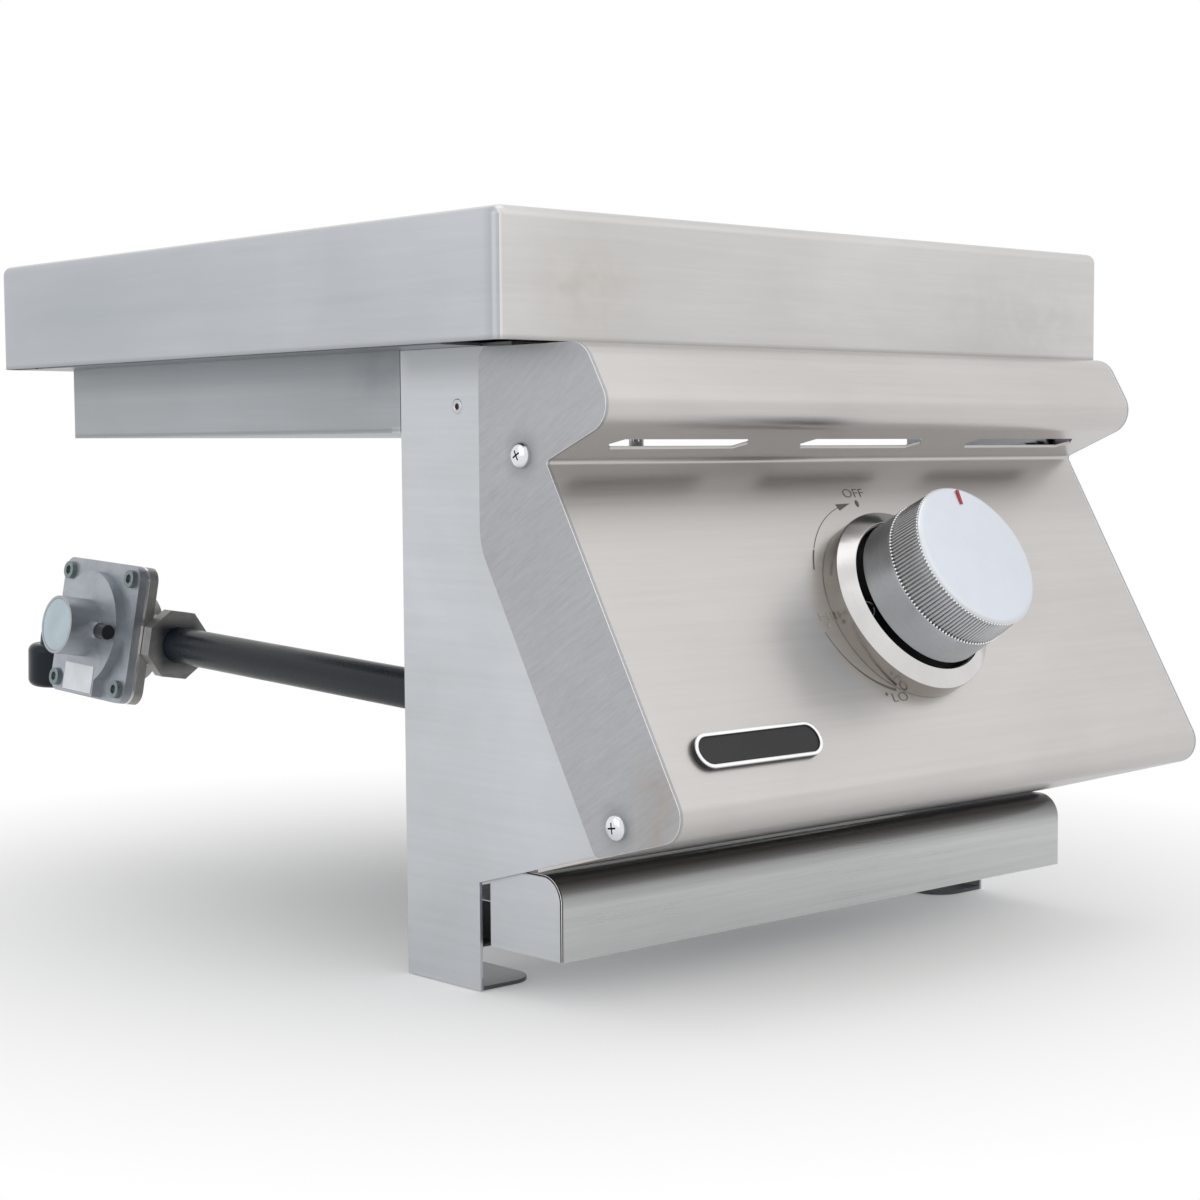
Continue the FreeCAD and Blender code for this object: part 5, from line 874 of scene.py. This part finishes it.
marks = {
    # millimetres in the dial's plane, from its centre
    "height": 0.06, "thick": 0.04,
    # thin lines round the bezel: centre, radius, from and to in degrees clockwise from up, width at each end
    "turnLine": ((3.1, 3.1), 44.1, -18, -56, 0.28, 0.28),
    "turnTick": ((3.1, 3.1), 44.1, -57, -69, 0.65, 0.65),
    "lowWedge": ((-9.9, 2.5), 37.5, -105, -163, 0.15, 1.1),
    "restLine": ((12.2, 4.7), 37.1, 129, 171, 0.2, 0.2),
    "underLine": ((0, 2.0), 38.0, 168, 196, 0.16, 0.16),
    "arrow": ((-2.84, 46.7), (-11.3, 46.5), (-10.0, 43.7)),
    "dot": ((1.4, 46.6), 0.95, 1.55),
    # words: middle, width, height
    "OFF": ((1.6, 51.3), 11.8, 3.7), "HI": ((-42.5, -0.8), 7.4, 3.3), "LO": ((-20.3, -36.3), 8.3, 3.6),
    "highFlame": ((-42.3, -4.6), 2.4), "lowFlame": ((-27.0, -34.6), 1.5),
    # left of and below this point the print is worn
    "wornCorner": (-37, 2),
}


def thickened(work, mesh):
    # flat faces become thin plates: a copy above them and walls round their outlines
    flat = work.faces[:]
    outline = [edge for edge in work.edges if len(edge.link_faces) == 1]
    lift = Vector((0, 0, marks["thick"] * mm))
    above = {corner: work.verts.new(corner.co + lift) for corner in work.verts[:]}
    for side in flat:
        work.faces.new([above[corner] for corner in side.verts])
    for edge in outline:
        first, second = edge.verts
        work.faces.new((first, second, above[second], above[first]))
    bmesh.ops.recalc_face_normals(work, faces=work.faces)
    work.to_mesh(mesh)
    work.free()
    return mesh


def flatMesh(name, loops):
    # closed outlines in the dial's own plane, in millimetres, raised a hair off the steel
    work = bmesh.new()
    for loop in loops:
        work.faces.new([work.verts.new((x * mm, y * mm, marks["height"] * mm)) for x, y in loop])
    return thickened(work, bpy.data.meshes.new(name))


def arcLoop(centre, radius, start, stop, width, endWidth, steps=40):
    outer, inner = [], []
    for number in range(steps + 1):
        share = number / steps
        half = (width + (endWidth - width) * share) / 2
        angle = math.radians(90 - start - (stop - start) * share)
        for reach, side in ((radius + half, outer), (radius - half, inner)):
            side.append((centre[0] + reach * math.cos(angle), centre[1] + reach * math.sin(angle)))
    return outer + inner[::-1]


def word(text):
    middle, width, height = marks[text]
    curve = bpy.data.curves.new("word" + text, "FONT")
    curve.body = text
    curve.align_x, curve.align_y = "CENTER", "CENTER"
    curve.offset = -0.012
    letters = newObject("word" + text, curve)
    graph = bpy.context.evaluated_depsgraph_get()
    mesh = bpy.data.meshes.new_from_object(letters.evaluated_get(graph))
    bpy.data.objects.remove(letters)
    xs, ys = [v.co.x for v in mesh.vertices], [v.co.y for v in mesh.vertices]
    toMiddle = Matrix.Translation((-(min(xs) + max(xs)) / 2, -(min(ys) + max(ys)) / 2, 0))
    size = Matrix.Diagonal((width / (max(xs) - min(xs)) * mm, height / (max(ys) - min(ys)) * mm, 1, 1))
    place = Matrix.Translation((middle[0] * mm, middle[1] * mm, marks["height"] * mm))
    mesh.transform(place @ size @ toMiddle)
    work = bmesh.new()
    work.from_mesh(mesh)
    bmesh.ops.remove_doubles(work, verts=work.verts, dist=1e-7)
    return thickened(work, mesh)


def flame(middle, size):
    outline = [(0, -0.5), (0.34, -0.36), (0.42, 0), (0.25, 0.3), (0.05, 0.62), (-0.02, 0.3), (-0.2, 0.42),
               (-0.4, 0.05), (-0.34, -0.34)]
    return [(middle[0] + x * size, middle[1] + y * size) for x, y in outline]


def makeMarks():
    lines = [arcLoop(*marks[name]) for name in ("turnLine", "turnTick", "lowWedge", "restLine", "underLine")]
    middle, wide, high = marks["dot"]
    dot = [(middle[0] + wide * math.cos(t), middle[1] + high * math.sin(t))
           for t in [2 * math.pi * k / 20 for k in range(20)]]
    flames = [flame(*marks["highFlame"]), flame(*marks["lowFlame"])]
    meshes = [flatMesh("dialLines", lines + [list(marks["arrow"]), dot] + flames)]
    meshes += [word(text) for text in ("OFF", "HI", "LO")]
    work = bmesh.new()
    for mesh in meshes:
        work.from_mesh(mesh)
    whole = bpy.data.meshes.new("dialMarks")
    work.to_mesh(whole)
    work.free()
    whole.materials.append(finishes["printGrey"])
    whole.materials.append(finishes["printFaint"])
    wornRight, wornTop = marks["wornCorner"]
    for side in whole.polygons:
        worn = side.center.x < wornRight * mm and side.center.y < wornTop * mm
        side.material_index = 1 if worn else 0
    whole.transform(dialPlace)
    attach(newObject("dialMarks", whole), "frame")


makeMarks()
print("dial marked")


# Remaining fasteners keep their CAD shape

for node, finish in (("regulator_screws", "hexZinc"), ("strap_screws", "screwSteel"),
                     ("bonnet_screws", "screwSteel")):
    dress(node, finish, 0.2)


# Camera, light and floor

camera = {"place": (-0.68637, -0.80644, -0.03593), "yaw": 42.370, "pitch": -4.505, "roll": -0.346,
          "lens": 69.95, "shiftX": -0.0197, "shiftY": 0.0297}


def makeCamera():
    yaw, pitch, roll = (math.radians(camera[k]) for k in ("yaw", "pitch", "roll"))
    ahead = Vector((math.sin(yaw) * math.cos(pitch), math.cos(yaw) * math.cos(pitch), math.sin(pitch)))
    level = Vector((math.cos(yaw), -math.sin(yaw), 0))
    above = level.cross(ahead)
    right = math.cos(roll) * level + math.sin(roll) * above
    up = -math.sin(roll) * level + math.cos(roll) * above
    data = bpy.data.cameras.new("camera")
    data.lens, data.sensor_width = camera["lens"], 36
    data.shift_x, data.shift_y = camera["shiftX"], camera["shiftY"]
    data.clip_start, data.clip_end = 0.01, 50
    thing = newObject("camera", data)
    axes = Matrix((right, up, -ahead)).transposed().to_4x4()
    thing.matrix_world = Matrix.Translation(camera["place"]) @ axes
    bpy.context.scene.camera = thing


def makeLamp(name, place, aim, size, power, colour):
    data = bpy.data.lights.new(name, "AREA")
    data.shape, data.size, data.size_y = "RECTANGLE", size[0], size[1]
    data.energy, data.color = power, colour
    thing = newObject(name, data)
    thing.location = place
    thing.rotation_euler = (Vector(aim) - Vector(place)).to_track_quat("-Z", "Y").to_euler()


def makeWorld(ambient):
    # white where it is seen, dimmer where it only lights
    world = bpy.data.worlds.new("studio")
    bpy.context.scene.world = world
    world.use_nodes = True
    tree = world.node_tree
    tree.nodes.clear()
    path = addNode(tree, "ShaderNodeLightPath")
    seen = path.outputs["Is Camera Ray"]
    for name in ("Is Glossy Ray", "Is Transmission Ray"):
        seen = math2(tree, "MAXIMUM", seen, path.outputs[name])
    strength = ramp(tree, seen, 0, 1, ambient, 1.0)
    light = addNode(tree, "ShaderNodeBackground", {"Color": (1, 1, 1, 1), "Strength": strength})
    output = addNode(tree, "ShaderNodeOutputWorld")
    tree.links.new(light.outputs[0], output.inputs[0])


def makeFloor(height, fadeSpan):
    # near the burner it takes the shadow, further out it fades to white
    mesh = bpy.data.meshes.new("floor")
    corners = [(-20, -20, height), (20, -20, height), (20, 20, height), (-20, 20, height)]
    mesh.from_pydata(corners, [], [(0, 1, 2, 3)])
    material, tree, shader = newMaterial("paleFloor")
    shader.inputs["Base Color"].default_value = (0.9, 0.9, 0.9, 1)
    shader.inputs["Roughness"].default_value = 0.9
    glow = addNode(tree, "ShaderNodeEmission", {"Color": (1, 1, 1, 1), "Strength": 1.0})
    coords = addNode(tree, "ShaderNodeTexCoord")
    reach = addNode(tree, "ShaderNodeVectorMath", {0: coords.outputs["Object"]}, operation="LENGTH")
    far = ramp(tree, reach.outputs["Value"], *fadeSpan, 0, 1)
    path = addNode(tree, "ShaderNodeLightPath")
    seen = math2(tree, "MAXIMUM", path.outputs["Is Camera Ray"], path.outputs["Is Glossy Ray"])
    share = math2(tree, "MULTIPLY", far, seen)
    mixed = addNode(tree, "ShaderNodeMixShader", {0: share, 1: shader.outputs[0], 2: glow.outputs[0]})
    output = next(n for n in tree.nodes if n.type == "OUTPUT_MATERIAL")
    tree.links.new(mixed.outputs[0], output.inputs["Surface"])
    mesh.materials.append(material)
    newObject("floor", mesh)


makeCamera()
makeWorld(0.7)
makeFloor(-0.2372, (0.24, 0.5))
makeLamp("keyFront", (0.7, -1.7, 1.3), (0, -0.1, -0.08), (2.4, 2.0), 4, (1.0, 0.97, 0.94))
makeLamp("fillLeft", (-1.7, 0.2, 0.6), (0, 0, -0.08), (1.6, 1.4), 4, (0.93, 0.97, 1.0))
makeLamp("topSoft", (0.0, 0.1, 1.8), (0, 0, 0), (1.8, 1.8), 5, (1.0, 1.0, 1.0))
bpy.context.scene.view_settings.view_transform = "Standard"
print("studio set")
